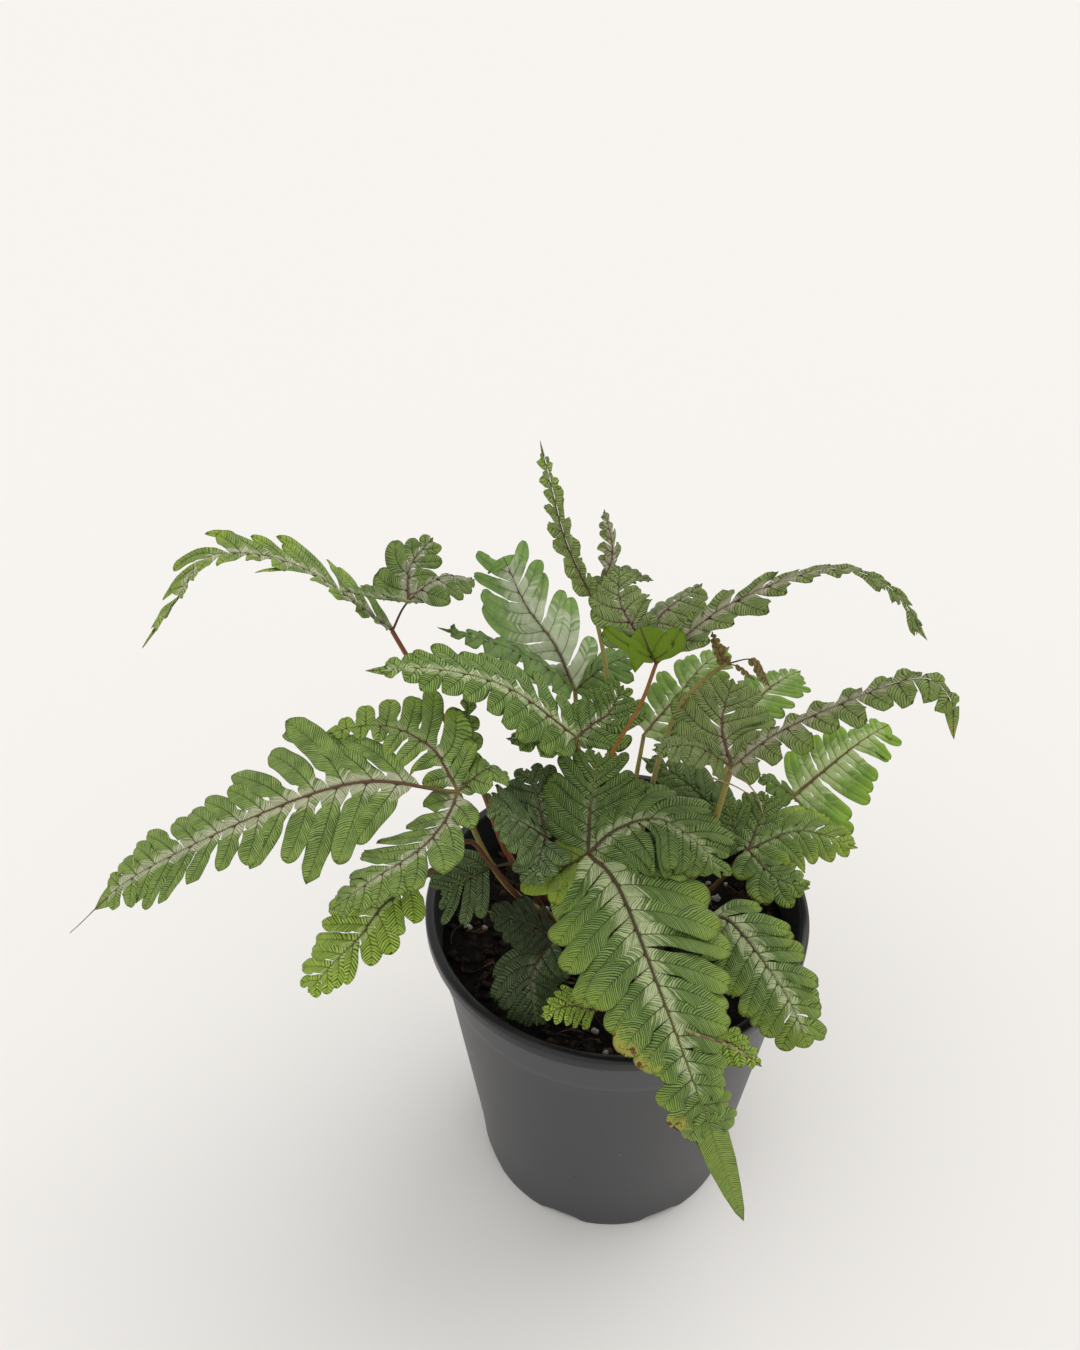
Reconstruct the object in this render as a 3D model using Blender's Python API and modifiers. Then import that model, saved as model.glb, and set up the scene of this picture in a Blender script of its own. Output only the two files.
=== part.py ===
"""Potted candy stripe fern: a round nursery pot, its potting mix, the fern's crown and its fronds.

Every frond is a stalk and a lobed blade. A blade is one leaf of several leaflets that meet at a fork.
The frame: +Z up, origin at the middle of the circle that the pot's feet stand on, -Y to the front frond.
"""

import math

import bmesh
import bpy
from mathutils import Matrix, Vector

MM = 0.001

# Driving dimensions of the pot
POT_HEIGHT = 143 * MM
RIM_RADIUS = 75 * MM
BASE_RADIUS = 55 * MM
WALL = 1.4 * MM
RIM_HEIGHT = 6 * MM
RIM_OVERHANG = 3 * MM
RIM_ROUNDING = 1.2 * MM
RIM_FLARE = 0.3 * MM
COLLAR_HEIGHT = 19 * MM
COLLAR_STEP = 0.7 * MM
FLOOR_HEIGHT = 5 * MM
FLOOR_FILLET = 2 * MM
HEEL_HEIGHT = 14 * MM
HEEL_BULGE = 2 * MM
FOOT_RING = 4 * MM
FOOT_BEVEL = 1 * MM
CENTRE_FOOT = 9 * MM
POT_STEPS = 40
SHARP_ANGLE = math.radians(35)

# Notches between the feet, and the drain holes above them
NOTCHES = 8
NOTCH_HEIGHT = 3.6 * MM
NOTCH_RADIUS = 15 * MM
NOTCH_STEPS = 40
DRAIN_RADIUS = 4 * MM
DRAIN_RING = 0.72 * BASE_RADIUS
DRAIN_STEPS = 16

# Potting mix and crown
GAP = 0.3 * MM
SOIL_DEPTH_BELOW_RIM = 19 * MM
SOIL_MOUND = 3 * MM
SOIL_ROUNDING = 2 * MM
SOIL_FLAT = 27 * MM
CROWN_RADIUS = 23 * MM
CROWN_HEIGHT = 9 * MM
CROWN_ROUNDING = 1 * MM
CROWN_RINGS = 5
CROWN_STEPS = 24

# Fronds
BLADE_THICKNESS = 0.8 * MM
KNOB_RADIUS = 1.7 * MM
BARE_WIDTH = 0.8 * MM
SINUS_DEPTH = 0.45
LOBE_LEAN = 0.35
STALK_BASE_SHARE = 1.25
STALK_TIP_SHARE = 0.75
STALK_POINTS = 7
STALK_CLEARANCE = 1.2 * MM
FINE_STEPS = 12

# Each frond, in millimetres. leaf and stem name its colours. root is where its stalk leaves the crown,
# stalk the points that the stalk passes, radius its radius, and fork the point where its leaflets meet.
# A leaflet's path runs on from the fork, or from a second fork, to its tip. half is the width of one side,
# lobes their number on one side, droop the degrees that the sides hang (or stand, where less than 0),
# bare the share of the path with no blade yet, and face the direction that its upper side looks in. sides
# are the shares of half on the left and on the right of the rib, seen from the fork, and widths gives
# shares of half at shares of the blade where the leaflet isn't shaped as half_width says.
FRONDS = {
    "front": {
        "leaf": "striped", "stem": "brown",
        "root": (-3, -11), "stalk": [(-15, -18, 172)], "fork": (-13, -25, 195), "radius": 1.5,
        "leaflets": [
            {"path": [(-3, -39, 193), (10, -76, 181), (22, -102, 160), (40, -112, 105)], "half": 29,
             "lobes": 12, "droop": 12, "face": (0, -0.6, 1), "sides": (1.05, 0.94),
             "widths": [(0, 0.95), (0.15, 1), (0.27, 0.92), (0.36, 0.73), (0.45, 0.52), (0.54, 0.44),
                        (0.63, 0.34), (0.7, 0.28), (1, 0.1)]},
            {"path": [(-3, -22, 204), (12, -20, 207), (26, -27, 201), (33, -35, 193)], "half": 22,
             "lobes": 8, "droop": 12, "face": (0, -0.3, 1)},
            {"path": [(-24, -30, 191), (-37, -33, 185)], "half": 12, "lobes": 2, "droop": 8,
             "face": (0, -0.5, 1)},
            {"path": [(-12, -13, 207), (-9, 0, 221)], "half": 21, "lobes": 6, "droop": 8,
             "face": (0, -0.7, 1)},
        ]},
    "left": {
        "leaf": "striped", "stem": "olive",
        "root": (-13, -7), "stalk": [(-37, -10, 155), (-49, -14, 181)], "fork": (-58, -22, 222),
        "radius": 1.2, "leaflets": [
            {"path": [(-98, -27, 229), (-166, -33, 196), (-200, -36, 165)], "half": 28, "lobes": 13,
             "droop": 8, "bare": 0.09, "face": (0, -0.5, 1), "sides": (0.92, 1.1),
             "widths": [(0, 0.7), (0.12, 1), (0.19, 0.92), (0.26, 0.8), (0.32, 0.64), (0.42, 0.52),
                        (0.55, 0.45), (0.68, 0.4), (0.8, 0.33), (0.9, 0.22), (1, 0.1)]},
            {"path": [(-63, -16, 229), (-67, -12, 233), (-78, -8, 238), (-90, -6, 238), (-105, -6, 234)],
             "half": 20, "lobes": 7, "droop": 4, "bare": 0.02, "face": (0, -0.6, 1), "sides": (0.72, 1.05),
             "widths": [(0, 0.45), (0.15, 0.82), (0.27, 1), (0.42, 0.8), (0.53, 0.55), (0.65, 0.4),
                        (0.8, 0.28), (1, 0.1)]},
            {"path": [(-56, -8, 229), (-55, 8, 243)], "half": 7, "lobes": 5, "droop": 6,
             "face": (0, -0.8, 1)},
            {"path": [(-61, -32, 220), (-67, -42, 218), (-75, -50, 217), (-83, -56, 216), (-98, -62, 207)],
             "half": 17, "lobes": 8, "droop": 10, "sides": (0.75, 1),
             "widths": [(0, 0.55), (0.2, 0.85), (0.5, 0.9), (0.8, 0.5), (1, 0.15)]},
            {"path": [(-48, -17, 228), (-41, -13, 222)], "half": 9, "lobes": 3, "droop": 10, "bare": 0.2},
        ]},
    "left_low": {
        "leaf": "bright", "stem": "brown",
        "root": (-11, -14), "stalk": [(-34, -17, 158), (-48, -22, 187), (-56, -28, 204)],
        "fork": (-72, -36, 192), "radius": 1.0, "leaflets": [
            {"path": [(-83, -46, 192), (-91, -54, 185), (-98, -60, 181), (-109, -66, 170)], "half": 17,
             "lobes": 8, "droop": 8, "face": (0, -0.3, 1), "sides": (0.7, 1.05),
             "widths": [(0, 0.9), (0.3, 1), (0.5, 0.78), (0.7, 0.55), (0.85, 0.36), (1, 0.15)]},
        ]},
    "left_high": {
        "leaf": "striped", "stem": "brown",
        "root": (-18, 2), "stalk": [(-41, 9, 156), (-55, 17, 196)], "fork": (-83, 30, 252), "radius": 1.15,
        "leaflets": [
            {"path": [(-112, 24, 283), (-138, 16, 293), (-151, 9, 280), (-165, 5, 263)], "half": 15,
             "lobes": 13, "droop": -14, "sides": (0.55, 1)},
            {"path": [(-77, 34, 262), (-65, 44, 266), (-54, 54, 258)], "half": 12, "lobes": 4, "droop": 25,
             "bare": 0.35},
            {"from": (-77, 34, 262), "path": [(-87, 22, 272), (-96, 12, 282)], "half": 8, "lobes": 6,
             "droop": -20},
            {"from": (-77, 34, 262), "path": [(-77, 47, 268), (-69, 58, 274)], "half": 13, "lobes": 4,
             "droop": 8, "face": (0, -0.8, 1)},
        ]},
    "back_left": {
        "leaf": "silver", "stem": "olive",
        "root": (-7, 14), "stalk": [(-13, 38, 164)], "fork": (-16, 58, 202), "radius": 1.2, "leaflets": [
            {"path": [(-24, 72, 214), (-36, 88, 223), (-45, 102, 237)], "half": 24, "lobes": 6, "droop": 8,
             "face": (0, -0.5, 1), "sides": (1.15, 0.8),
             "widths": [(0, 0.8), (0.3, 0.95), (0.7, 0.75), (0.9, 0.55), (1, 0.4)]},
            {"path": [(-32, 55, 219), (-50, 48, 234), (-68, 42, 245)], "half": 12, "lobes": 7, "droop": 10},
            {"path": [(-4, 62, 211), (12, 64, 218)], "half": 13, "lobes": 5, "droop": 8},
        ]},
    "centre_left": {
        "leaf": "striped", "stem": "olive",
        "root": (-9, 2), "stalk": [(-18, 3, 175)], "fork": (-17, 5, 223), "radius": 1.05, "leaflets": [
            {"path": [(-41, 2, 248), (-66, 0, 258), (-89, -2, 259)], "half": 19, "lobes": 9, "droop": 10,
             "face": (0, -0.3, 1), "sides": (0.74, 1)},
            {"path": [(-28, 2, 225), (-42, -1, 228)], "half": 9, "lobes": 4, "droop": 10},
            {"path": [(-11, 9, 226), (-5, 13, 228), (0, 18, 237)], "half": 14, "lobes": 6, "droop": 6,
             "face": (0, -0.6, 1)},
            {"path": [(-10, 12, 220), (1, 18, 216)], "half": 6, "lobes": 4, "droop": 20},
        ]},
    "top": {
        "leaf": "mid", "stem": "olive",
        "root": (-3, 8), "stalk": [(-4, 18, 203), (-6, 24, 238)], "fork": (-12, 25, 270), "radius": 1.0,
        "leaflets": [
            {"path": [(-21, 18, 296), (-26, 7, 322), (-30, -1, 345)], "half": 5.4, "lobes": 8, "droop": 35,
             "face": (0.3, -1, 0.3)},
            {"path": [(-5, 33, 282), (-8, 38, 298)], "half": 5, "lobes": 5, "droop": 35, "bare": 0.3,
             "face": (0.4, -1, 0.3)},
            {"path": [(-3, 30, 275), (10, 33, 272)], "half": 7, "lobes": 5, "droop": -15},
        ]},
    "centre_top": {
        "leaf": "mid", "stem": "brown",
        "root": (-2, -4), "stalk": [(-9, 4, 195), (-4, -1, 222), (4, -5, 246)], "fork": (8, -10, 268),
        "radius": 0.85, "leaflets": [
            {"path": [(29, -9, 290), (58, -9, 304), (78, -12, 300), (93, -16, 282)], "half": 8.5,
             "lobes": 9, "droop": 4, "bare": 0.08, "face": (0, -0.35, 1), "sides": (0.6, 0.95),
             "widths": [(0, 0.9), (0.15, 1.1), (0.28, 0.8), (0.38, 0.42), (0.6, 0.34), (0.8, 0.48),
                        (1, 0.15)]},
            {"path": [(4, -11, 276), (-4, -3, 287), (-4, 12, 292)], "half": 11, "lobes": 6, "droop": 6,
             "bare": 0.25, "face": (0, -0.6, 1)},
            {"from": (4, -11, 276), "path": [(10, 1, 280), (25, 18, 281)], "half": 15, "lobes": 5,
             "droop": 30},
            {"path": [(6, -13, 274), (2, -10, 283)], "half": 15, "lobes": 1, "droop": -30, "bare": 0.15,
             "face": (0, -0.8, 0.6), "sides": (0.9, 0.9)},
        ]},
    "right": {
        "leaf": "mid", "stem": "olive",
        "root": (12, -5), "stalk": [(29, -7, 170)], "fork": (36, -15, 227), "radius": 1.3, "leaflets": [
            {"path": [(52, -18, 247), (86, -26, 274), (98, -31, 271), (102, -34, 256)], "half": 9,
             "lobes": 9, "droop": 8, "face": (0, -0.4, 1), "sides": (0.46, 0.95),
             "widths": [(0, 1), (0.3, 0.85), (0.6, 0.95), (0.8, 0.7), (0.9, 0.4), (1, 0.2)]},
            {"path": [(33, -3, 236), (38, 13, 244)], "half": 20, "lobes": 5, "droop": 6,
             "face": (0, -0.4, 1)},
            {"path": [(22, -18, 239), (7, -24, 243)], "half": 12, "lobes": 5, "droop": 12, "bare": 0.1},
        ]},
    "young": {
        "leaf": "dark", "stem": "olive",
        "root": (4, 1), "stalk": [(10, 2, 195), (17, 5, 232), (26, 7, 247)], "fork": (34, 8, 254),
        "radius": 1.0, "leaflets": [
            {"path": [(43, 5, 258), (49, 2, 249)], "half": 3, "lobes": 6, "droop": 10, "bare": 0.4},
            {"path": [(39, 9, 252), (45, 8, 247)], "half": 2, "lobes": 4, "droop": 10, "bare": 0.3},
            {"path": [(31, 11, 259), (29, 14, 264)], "half": 2.5, "lobes": 5, "droop": 10,
             "face": (0, -1, 0)},
        ]},
    "back_centre": {
        "leaf": "bright", "stem": "olive",
        "root": (5, 15), "stalk": [(7, 33, 162)], "fork": (12, 52, 184), "radius": 1.1, "leaflets": [
            {"path": [(26, 68, 190), (38, 84, 194), (51, 98, 194)], "half": 19, "lobes": 7, "droop": 8},
        ]},
    "back_right": {
        "leaf": "bright", "stem": "olive",
        "root": (11, 12), "stalk": [(37, 27, 146), (43, 40, 166)], "fork": (56, 68, 183), "radius": 1.1,
        "leaflets": [
            {"path": [(68, 82, 185), (83, 98, 181)], "half": 15, "lobes": 6, "droop": 8},
        ]},
    "right_back": {
        "leaf": "bright", "stem": "olive",
        "root": (16, 6), "stalk": [(44, 22, 147)], "fork": (72, 35, 166), "radius": 1.1, "leaflets": [
            {"path": [(100, 56, 175), (116, 69, 175)], "half": 24, "lobes": 8, "droop": 8,
             "face": (0, -0.2, 1), "sides": (0.75, 1.05),
             "widths": [(0, 1.12), (0.15, 1.05), (0.35, 0.8), (0.6, 0.55), (0.8, 0.4), (1, 0.3)]},
            {"path": [(66, 36, 170), (58, 38, 174)], "half": 8, "lobes": 3, "droop": 10},
            {"path": [(76, 38, 160), (80, 41, 153)], "half": 7, "lobes": 3, "droop": 10},
        ]},
    "right_middle": {
        "leaf": "striped", "stem": "brown",
        "root": (18, -1), "stalk": [(36, 2, 146)], "fork": (50, 5, 166), "radius": 1.1, "leaflets": [
            {"path": [(71, 13, 168), (94, 10, 162)], "half": 17, "lobes": 5, "droop": 8,
             "face": (0, -0.2, 1)},
            {"path": [(59, -8, 164), (71, -14, 165)], "half": 13, "lobes": 4, "droop": 8,
             "face": (0, -0.2, 1)},
            {"path": [(46, 12, 168), (42, 20, 178)], "half": 12, "lobes": 5, "droop": 8,
             "face": (0, -0.5, 1)},
            {"path": [(55, 16, 170), (59, 24, 178)], "half": 12, "lobes": 5, "droop": 8,
             "face": (0, -0.5, 1)},
            {"path": [(41, 22, 167), (26, 34, 176), (10, 42, 181)], "half": 14, "lobes": 7, "droop": 8,
             "face": (0, -0.4, 1)},
        ]},
    "inner_left": {
        "leaf": "dark", "stem": "brown",
        "root": (-9, -6), "stalk": [(-22, -13, 168)], "fork": (-28, -18, 196), "radius": 1.1,
        "leaflets": [
            {"path": [(-37, -22, 208), (-48, -26, 220)], "half": 15, "lobes": 5, "droop": 8,
             "face": (0, -0.3, 1)},
            {"path": [(-30, -28, 197), (-33, -38, 193)], "half": 11, "lobes": 3, "droop": 8},
            {"path": [(-31, -9, 206), (-35, 0, 213)], "half": 15, "lobes": 4, "droop": 8,
             "face": (0, -0.6, 1)},
        ]},
    "front_right": {
        "leaf": "striped", "stem": "brown",
        "root": (6, -11), "stalk": [(20, -20, 155)], "fork": (31, -28, 166), "radius": 1.1, "leaflets": [
            {"path": [(40, -36, 169), (56, -56, 157), (64, -70, 145)], "half": 18, "lobes": 8, "droop": 10,
             "face": (0, -0.2, 1), "widths": [(0, 0.85), (0.25, 1), (0.6, 0.8), (0.8, 0.55), (1, 0.4)]},
        ]},
    "inner_front": {
        "leaf": "dark", "stem": "brown",
        "root": (-8, -16), "stalk": [(-19, -24, 148)], "fork": (-25, -30, 156), "radius": 1.0,
        "leaflets": [
            {"path": [(-33, -41, 148), (-31, -53, 134)], "half": 16, "lobes": 7, "droop": 6,
             "face": (0, -0.3, 1)},
            {"path": [(-35, -32, 167), (-49, -33, 174)], "half": 11, "lobes": 5, "droop": 8,
             "face": (0, -0.3, 1)},
        ]},
    "sprout": {
        "leaf": "bright", "stem": "olive",
        "root": (-2, -18), "stalk": [(-4, -40, 140)], "fork": (-10, -55, 146), "radius": 0.8,
        "leaflets": [
            {"path": [(-20, -60, 155), (-30, -63, 153)], "half": 9, "lobes": 5, "droop": 8,
             "face": (0, -0.4, 1)},
        ]},
    "inner_low": {
        "leaf": "dark", "stem": "brown",
        "root": (-18, -11.5), "stalk": [(-28, -12.5, 151)], "fork": (-39, -16, 181), "radius": 1.0,
        "leaflets": [
            {"path": [(-51, -19, 180), (-66, -26, 175)], "half": 17, "lobes": 4, "droop": 10, "bare": 0.3,
             "face": (0, -0.5, 1)},
        ]},
    "rim_right": {
        "leaf": "bright", "stem": "olive",
        "root": (4, -17), "stalk": [(14, -44, 141)], "fork": (25, -65, 147), "radius": 0.8, "leaflets": [
            {"path": [(36, -73, 151), (46, -80, 148)], "half": 9, "lobes": 5, "droop": 8},
        ]},
}

COLOURS = {
    "pot": (0.055, 0.058, 0.062, 1),
    "soil": (0.03, 0.02, 0.014, 1),
    "crown": (0.09, 0.045, 0.02, 1),
    "brown": (0.3, 0.13, 0.045, 1),
    "olive": (0.22, 0.2, 0.06, 1),
    "striped": (0.16, 0.27, 0.1, 1),
    "silver": (0.25, 0.34, 0.2, 1),
    "bright": (0.17, 0.36, 0.045, 1),
    "mid": (0.09, 0.2, 0.045, 1),
    "dark": (0.035, 0.085, 0.03, 1),
}


def clear_scene():
    for obj in list(bpy.data.objects):
        bpy.data.objects.remove(obj)


def collection(name):
    made = bpy.data.collections.new(name)
    bpy.context.scene.collection.children.link(made)
    return made


def material(name, colour, roughness):
    made = bpy.data.materials.new(name)
    made.use_nodes = True
    shader = made.node_tree.nodes["Principled BSDF"]
    shader.inputs["Base Color"].default_value = COLOURS[colour]
    shader.inputs["Roughness"].default_value = roughness
    return made


def add_object(name, data, group, finish=None):
    obj = bpy.data.objects.new(name, data)
    group.objects.link(obj)
    if finish:
        data.materials.append(finish)
    return obj


def turned(name, profile, steps, group, finish):
    """A solid of revolution about Z. The profile goes from the axis up the inside and down the outside."""
    mesh = bpy.data.meshes.new(name)
    mesh.from_pydata([(r, 0, z) for r, z in profile], [(i, i + 1) for i in range(len(profile) - 1)], [])
    section = add_object(name + "_section", mesh, group)
    screw = section.modifiers.new("turn", "SCREW")
    screw.steps = screw.render_steps = steps
    screw.use_merge_vertices = True
    screw.merge_threshold = 0.01 * MM
    solid = evaluated_mesh(section)
    bpy.data.objects.remove(section)
    solid.name = name
    solid.shade_smooth()
    solid.set_sharp_from_angle(angle=SHARP_ANGLE)
    return add_object(name, solid, group, finish)


def evaluated_mesh(obj):
    graph = bpy.context.evaluated_depsgraph_get()
    return bpy.data.meshes.new_from_object(obj.evaluated_get(graph))


def outer_radius(height):
    """Radius of the pot's outer wall below its rim."""
    top = RIM_RADIUS - RIM_OVERHANG
    return BASE_RADIUS + (top - BASE_RADIUS) * height / (POT_HEIGHT - RIM_HEIGHT)


def pot_profile():
    """Half section of the pot: floor, inside wall, rolled rim, collar, body, foot ring and centre foot."""
    rim_low = POT_HEIGHT - RIM_HEIGHT
    collar_low = rim_low - COLLAR_HEIGHT
    floor_low = FLOOR_HEIGHT - WALL
    inner_top = outer_radius(rim_low) - WALL
    return [
        (0, FLOOR_HEIGHT),
        (outer_radius(FLOOR_HEIGHT) - WALL - FLOOR_FILLET, FLOOR_HEIGHT),
        (outer_radius(FLOOR_HEIGHT) - WALL, FLOOR_HEIGHT + FLOOR_FILLET),
        (inner_top, rim_low),
        (inner_top + RIM_FLARE, POT_HEIGHT - RIM_ROUNDING),
        (inner_top + RIM_FLARE + RIM_ROUNDING, POT_HEIGHT),
        (RIM_RADIUS - RIM_ROUNDING, POT_HEIGHT),
        (RIM_RADIUS, POT_HEIGHT - RIM_ROUNDING),
        (RIM_RADIUS, rim_low + RIM_ROUNDING),
        (RIM_RADIUS - RIM_ROUNDING, rim_low),
        (outer_radius(rim_low), rim_low),
        (outer_radius(collar_low), collar_low),
        (outer_radius(collar_low) - COLLAR_STEP, collar_low - COLLAR_STEP),
        (BASE_RADIUS + HEEL_BULGE, HEEL_HEIGHT),
        (BASE_RADIUS, 2 * FOOT_BEVEL),
        (BASE_RADIUS - FOOT_BEVEL, 0),
        (BASE_RADIUS - FOOT_RING, 0),
        (BASE_RADIUS - FOOT_RING, floor_low),
        (CENTRE_FOOT, floor_low),
        (CENTRE_FOOT, 0),
        (0, 0),
    ]


def foot_cutter(group):
    """Eight radial rods that cut the notches between the feet."""
    bm = bmesh.new()
    for i in range(NOTCHES):
        angle = math.tau * (i + 0.5) / NOTCHES
        made = bmesh.ops.create_cone(
            bm, cap_ends=True, segments=NOTCH_STEPS, radius1=NOTCH_RADIUS, radius2=NOTCH_RADIUS,
            depth=5 * FOOT_RING)
        bmesh.ops.rotate(bm, verts=made["verts"], matrix=rotation(math.pi / 2, "Y"))
        bmesh.ops.translate(bm, verts=made["verts"], vec=(BASE_RADIUS, 0, NOTCH_HEIGHT - NOTCH_RADIUS))
        bmesh.ops.rotate(bm, verts=made["verts"], matrix=rotation(angle, "Z"))
    return cutter("notch_cutter", bm, group)


def drain_cutter(group):
    """Eight upright rods that cut the drain holes through the floor."""
    bm = bmesh.new()
    for i in range(NOTCHES):
        angle = math.tau * (i + 0.5) / NOTCHES
        made = bmesh.ops.create_cone(
            bm, cap_ends=True, segments=DRAIN_STEPS, radius1=DRAIN_RADIUS, radius2=DRAIN_RADIUS,
            depth=2 * FLOOR_HEIGHT)
        place = (DRAIN_RING * math.cos(angle), DRAIN_RING * math.sin(angle), FLOOR_HEIGHT)
        bmesh.ops.translate(bm, verts=made["verts"], vec=place)
    return cutter("drain_cutter", bm, group)


def rotation(angle, axis):
    return Matrix.Rotation(angle, 3, axis)


def cutter(name, bm, group):
    mesh = bpy.data.meshes.new(name)
    bm.to_mesh(mesh)
    bm.free()
    obj = add_object(name, mesh, group)
    obj.hide_render = True
    obj.display_type = "WIRE"
    return obj


def make_pot(group, cutters):
    pot = turned("pot", pot_profile(), POT_STEPS, group, material("pot", "pot", 0.45))
    for tool in (foot_cutter(cutters), drain_cutter(cutters)):
        cut = pot.modifiers.new(tool.name, "BOOLEAN")
        cut.operation = "DIFFERENCE"
        cut.object = tool


def soil_top():
    return POT_HEIGHT - SOIL_DEPTH_BELOW_RIM


def make_soil(group):
    """The potting mix fills the pot, with a clearance to its wall and floor, and is slightly mounded."""
    edge = outer_radius(soil_top()) - WALL - GAP
    foot = outer_radius(FLOOR_HEIGHT) - WALL - FLOOR_FILLET - GAP
    low = FLOOR_HEIGHT + GAP
    profile = [
        (0, soil_top() + SOIL_MOUND),
        (SOIL_FLAT, soil_top() + SOIL_MOUND),
        (edge - SOIL_ROUNDING, soil_top()),
        (edge, soil_top() - SOIL_ROUNDING),
        (foot + FLOOR_FILLET, low + FLOOR_FILLET + GAP),
        (foot, low),
        (0, low),
    ]
    turned("potting_mix", profile, POT_STEPS, group, material("potting_mix", "soil", 0.95))


def crown_surface(radius):
    """Height of the crown's domed top at this distance from the pot's axis."""
    base = soil_top() + SOIL_MOUND + GAP
    return base + CROWN_HEIGHT * math.sqrt(max(0.0, 1 - (radius / CROWN_RADIUS) ** 2))


def make_crown(group):
    """The short rootstock that every stalk grows from, lying on the potting mix."""
    base = soil_top() + SOIL_MOUND + GAP
    profile = []
    for i in range(CROWN_RINGS):
        radius = CROWN_RADIUS * math.sin(math.pi / 2 * i / CROWN_RINGS)
        profile.append((radius, crown_surface(radius)))
    profile += [(CROWN_RADIUS, base + CROWN_ROUNDING), (CROWN_RADIUS - CROWN_ROUNDING, base), (0, base)]
    turned("crown", profile, CROWN_STEPS, group, material("crown", "crown", 0.9))


def smooth_path(points, count):
    """Evenly spaced points on a smooth curve through the given ones, and the curve's slope at each."""
    ends = [2 * points[0] - points[1], *points, 2 * points[-1] - points[-2]]
    fine = []
    for before, start, end, after in zip(ends, ends[1:], ends[2:], ends[3:]):
        for i in range(FINE_STEPS):
            t = i / FINE_STEPS
            fine.append(0.5 * (
                2 * start + (end - before) * t
                + (2 * before - 5 * start + 4 * end - after) * t ** 2
                + (3 * start - before - 3 * end + after) * t ** 3))
    fine.append(points[-1])
    run = [0.0]
    for start, end in zip(fine, fine[1:]):
        run.append(run[-1] + (end - start).length)
    places = []
    slopes = []
    step = 0
    for i in range(count):
        reach = run[-1] * i / (count - 1)
        while step < len(fine) - 2 and run[step + 1] < reach:
            step += 1
        share = (reach - run[step]) / (run[step + 1] - run[step])
        places.append(fine[step].lerp(fine[step + 1], share))
        slopes.append((fine[step + 1] - fine[step]).normalized())
    return places, slopes


def make_stalk(name, frond, group):
    """A tapering stalk from just above the crown to just below the blade's fork."""
    root_x, root_y = (value * MM for value in frond["root"])
    root = Vector((root_x, root_y, crown_surface(math.hypot(root_x, root_y)) + STALK_CLEARANCE))
    fork = Vector(frond["fork"]) * MM
    route = [root, *(Vector(point) * MM for point in frond["stalk"])]
    last = (fork - route[-1]).normalized()
    route.append(fork - last * (KNOB_RADIUS + GAP))
    places, _ = smooth_path(route, STALK_POINTS)
    data = bpy.data.curves.new(name, "CURVE")
    data.dimensions = "3D"
    data.bevel_depth = frond["radius"] * MM
    data.bevel_resolution = 1
    data.use_fill_caps = True
    line = data.splines.new("POLY")
    line.points.add(STALK_POINTS - 1)
    for i, (point, place) in enumerate(zip(line.points, places)):
        point.co = (*place, 1)
        along = i / (STALK_POINTS - 1)
        point.radius = STALK_BASE_SHARE + (STALK_TIP_SHARE - STALK_BASE_SHARE) * along
    add_object(name, data, group, material(name, frond["stem"], 0.5))


def half_width(along, widths):
    """Share of the full half width at this share of the blade: full near the fork, drawn out at the tip."""
    for (start, first), (end, last) in zip(widths, widths[1:]):
        if along <= end:
            return first + (last - first) * (along - start) / (end - start)
    return min(1, 0.75 + along) * (1 - along ** 1.8)


def leaflet(name, fork, spec):
    """One lobed leaflet: a grid bent along its rib, zigzag at both edges, and thickened."""
    start = Vector(spec["from"]) * MM if "from" in spec else fork
    route = [start, *(Vector(point) * MM for point in spec["path"])]
    face = Vector(spec.get("face", (0, 0, 1))).normalized()
    droop = math.radians(spec["droop"])
    bare = spec.get("bare", 0)
    left, right = spec.get("sides", (1, 1))
    rows = 2 * spec["lobes"] + 1
    places, slopes = smooth_path(route, 4 * rows + 1)
    length = sum((end - start).length for start, end in zip(places, places[1:]))
    stations = [(0, BARE_WIDTH)]
    if bare:
        stations.append((bare, BARE_WIDTH))
    for row in range(1, rows + 1):
        along = row / rows
        share = half_width(along, spec.get("widths", [])) * (1 if row % 2 else 1 - SINUS_DEPTH)
        stations.append((bare + (1 - bare) * along, max(spec["half"] * MM * share, BARE_WIDTH / 2)))
    bm = bmesh.new()
    bmesh.ops.create_grid(bm, x_segments=len(stations) - 1, y_segments=2, size=1)
    for vert in bm.verts:
        along, width = stations[round((vert.co.x + 1) / 2 * (len(stations) - 1))]
        side = round(vert.co.y)
        width *= left if side > 0 else right
        lean = LOBE_LEAN * width / length * abs(side) * (1 - along)
        at = round(min(1, along + lean) * (len(places) - 1))
        slope = slopes[at]
        normal = (face - slope * face.dot(slope)).normalized()
        sideways = normal.cross(slope)
        vert.co = places[at] + width * side * (
            sideways * math.cos(droop) - normal * side * math.sin(droop))
    mesh = bpy.data.meshes.new(name)
    bm.to_mesh(mesh)
    bm.free()
    obj = bpy.data.objects.new(name, mesh)
    bpy.context.scene.collection.objects.link(obj)
    shell = obj.modifiers.new("thickness", "SOLIDIFY")
    shell.thickness = BLADE_THICKNESS
    shell.offset = 0
    return obj


def knob(name, place):
    """The small swelling at the fork, where the leaflets' ribs meet."""
    bm = bmesh.new()
    bmesh.ops.create_uvsphere(bm, u_segments=8, v_segments=6, radius=KNOB_RADIUS)
    bmesh.ops.translate(bm, verts=bm.verts, vec=place)
    mesh = bpy.data.meshes.new(name)
    bm.to_mesh(mesh)
    bm.free()
    obj = bpy.data.objects.new(name, mesh)
    bpy.context.scene.collection.objects.link(obj)
    return obj


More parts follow.
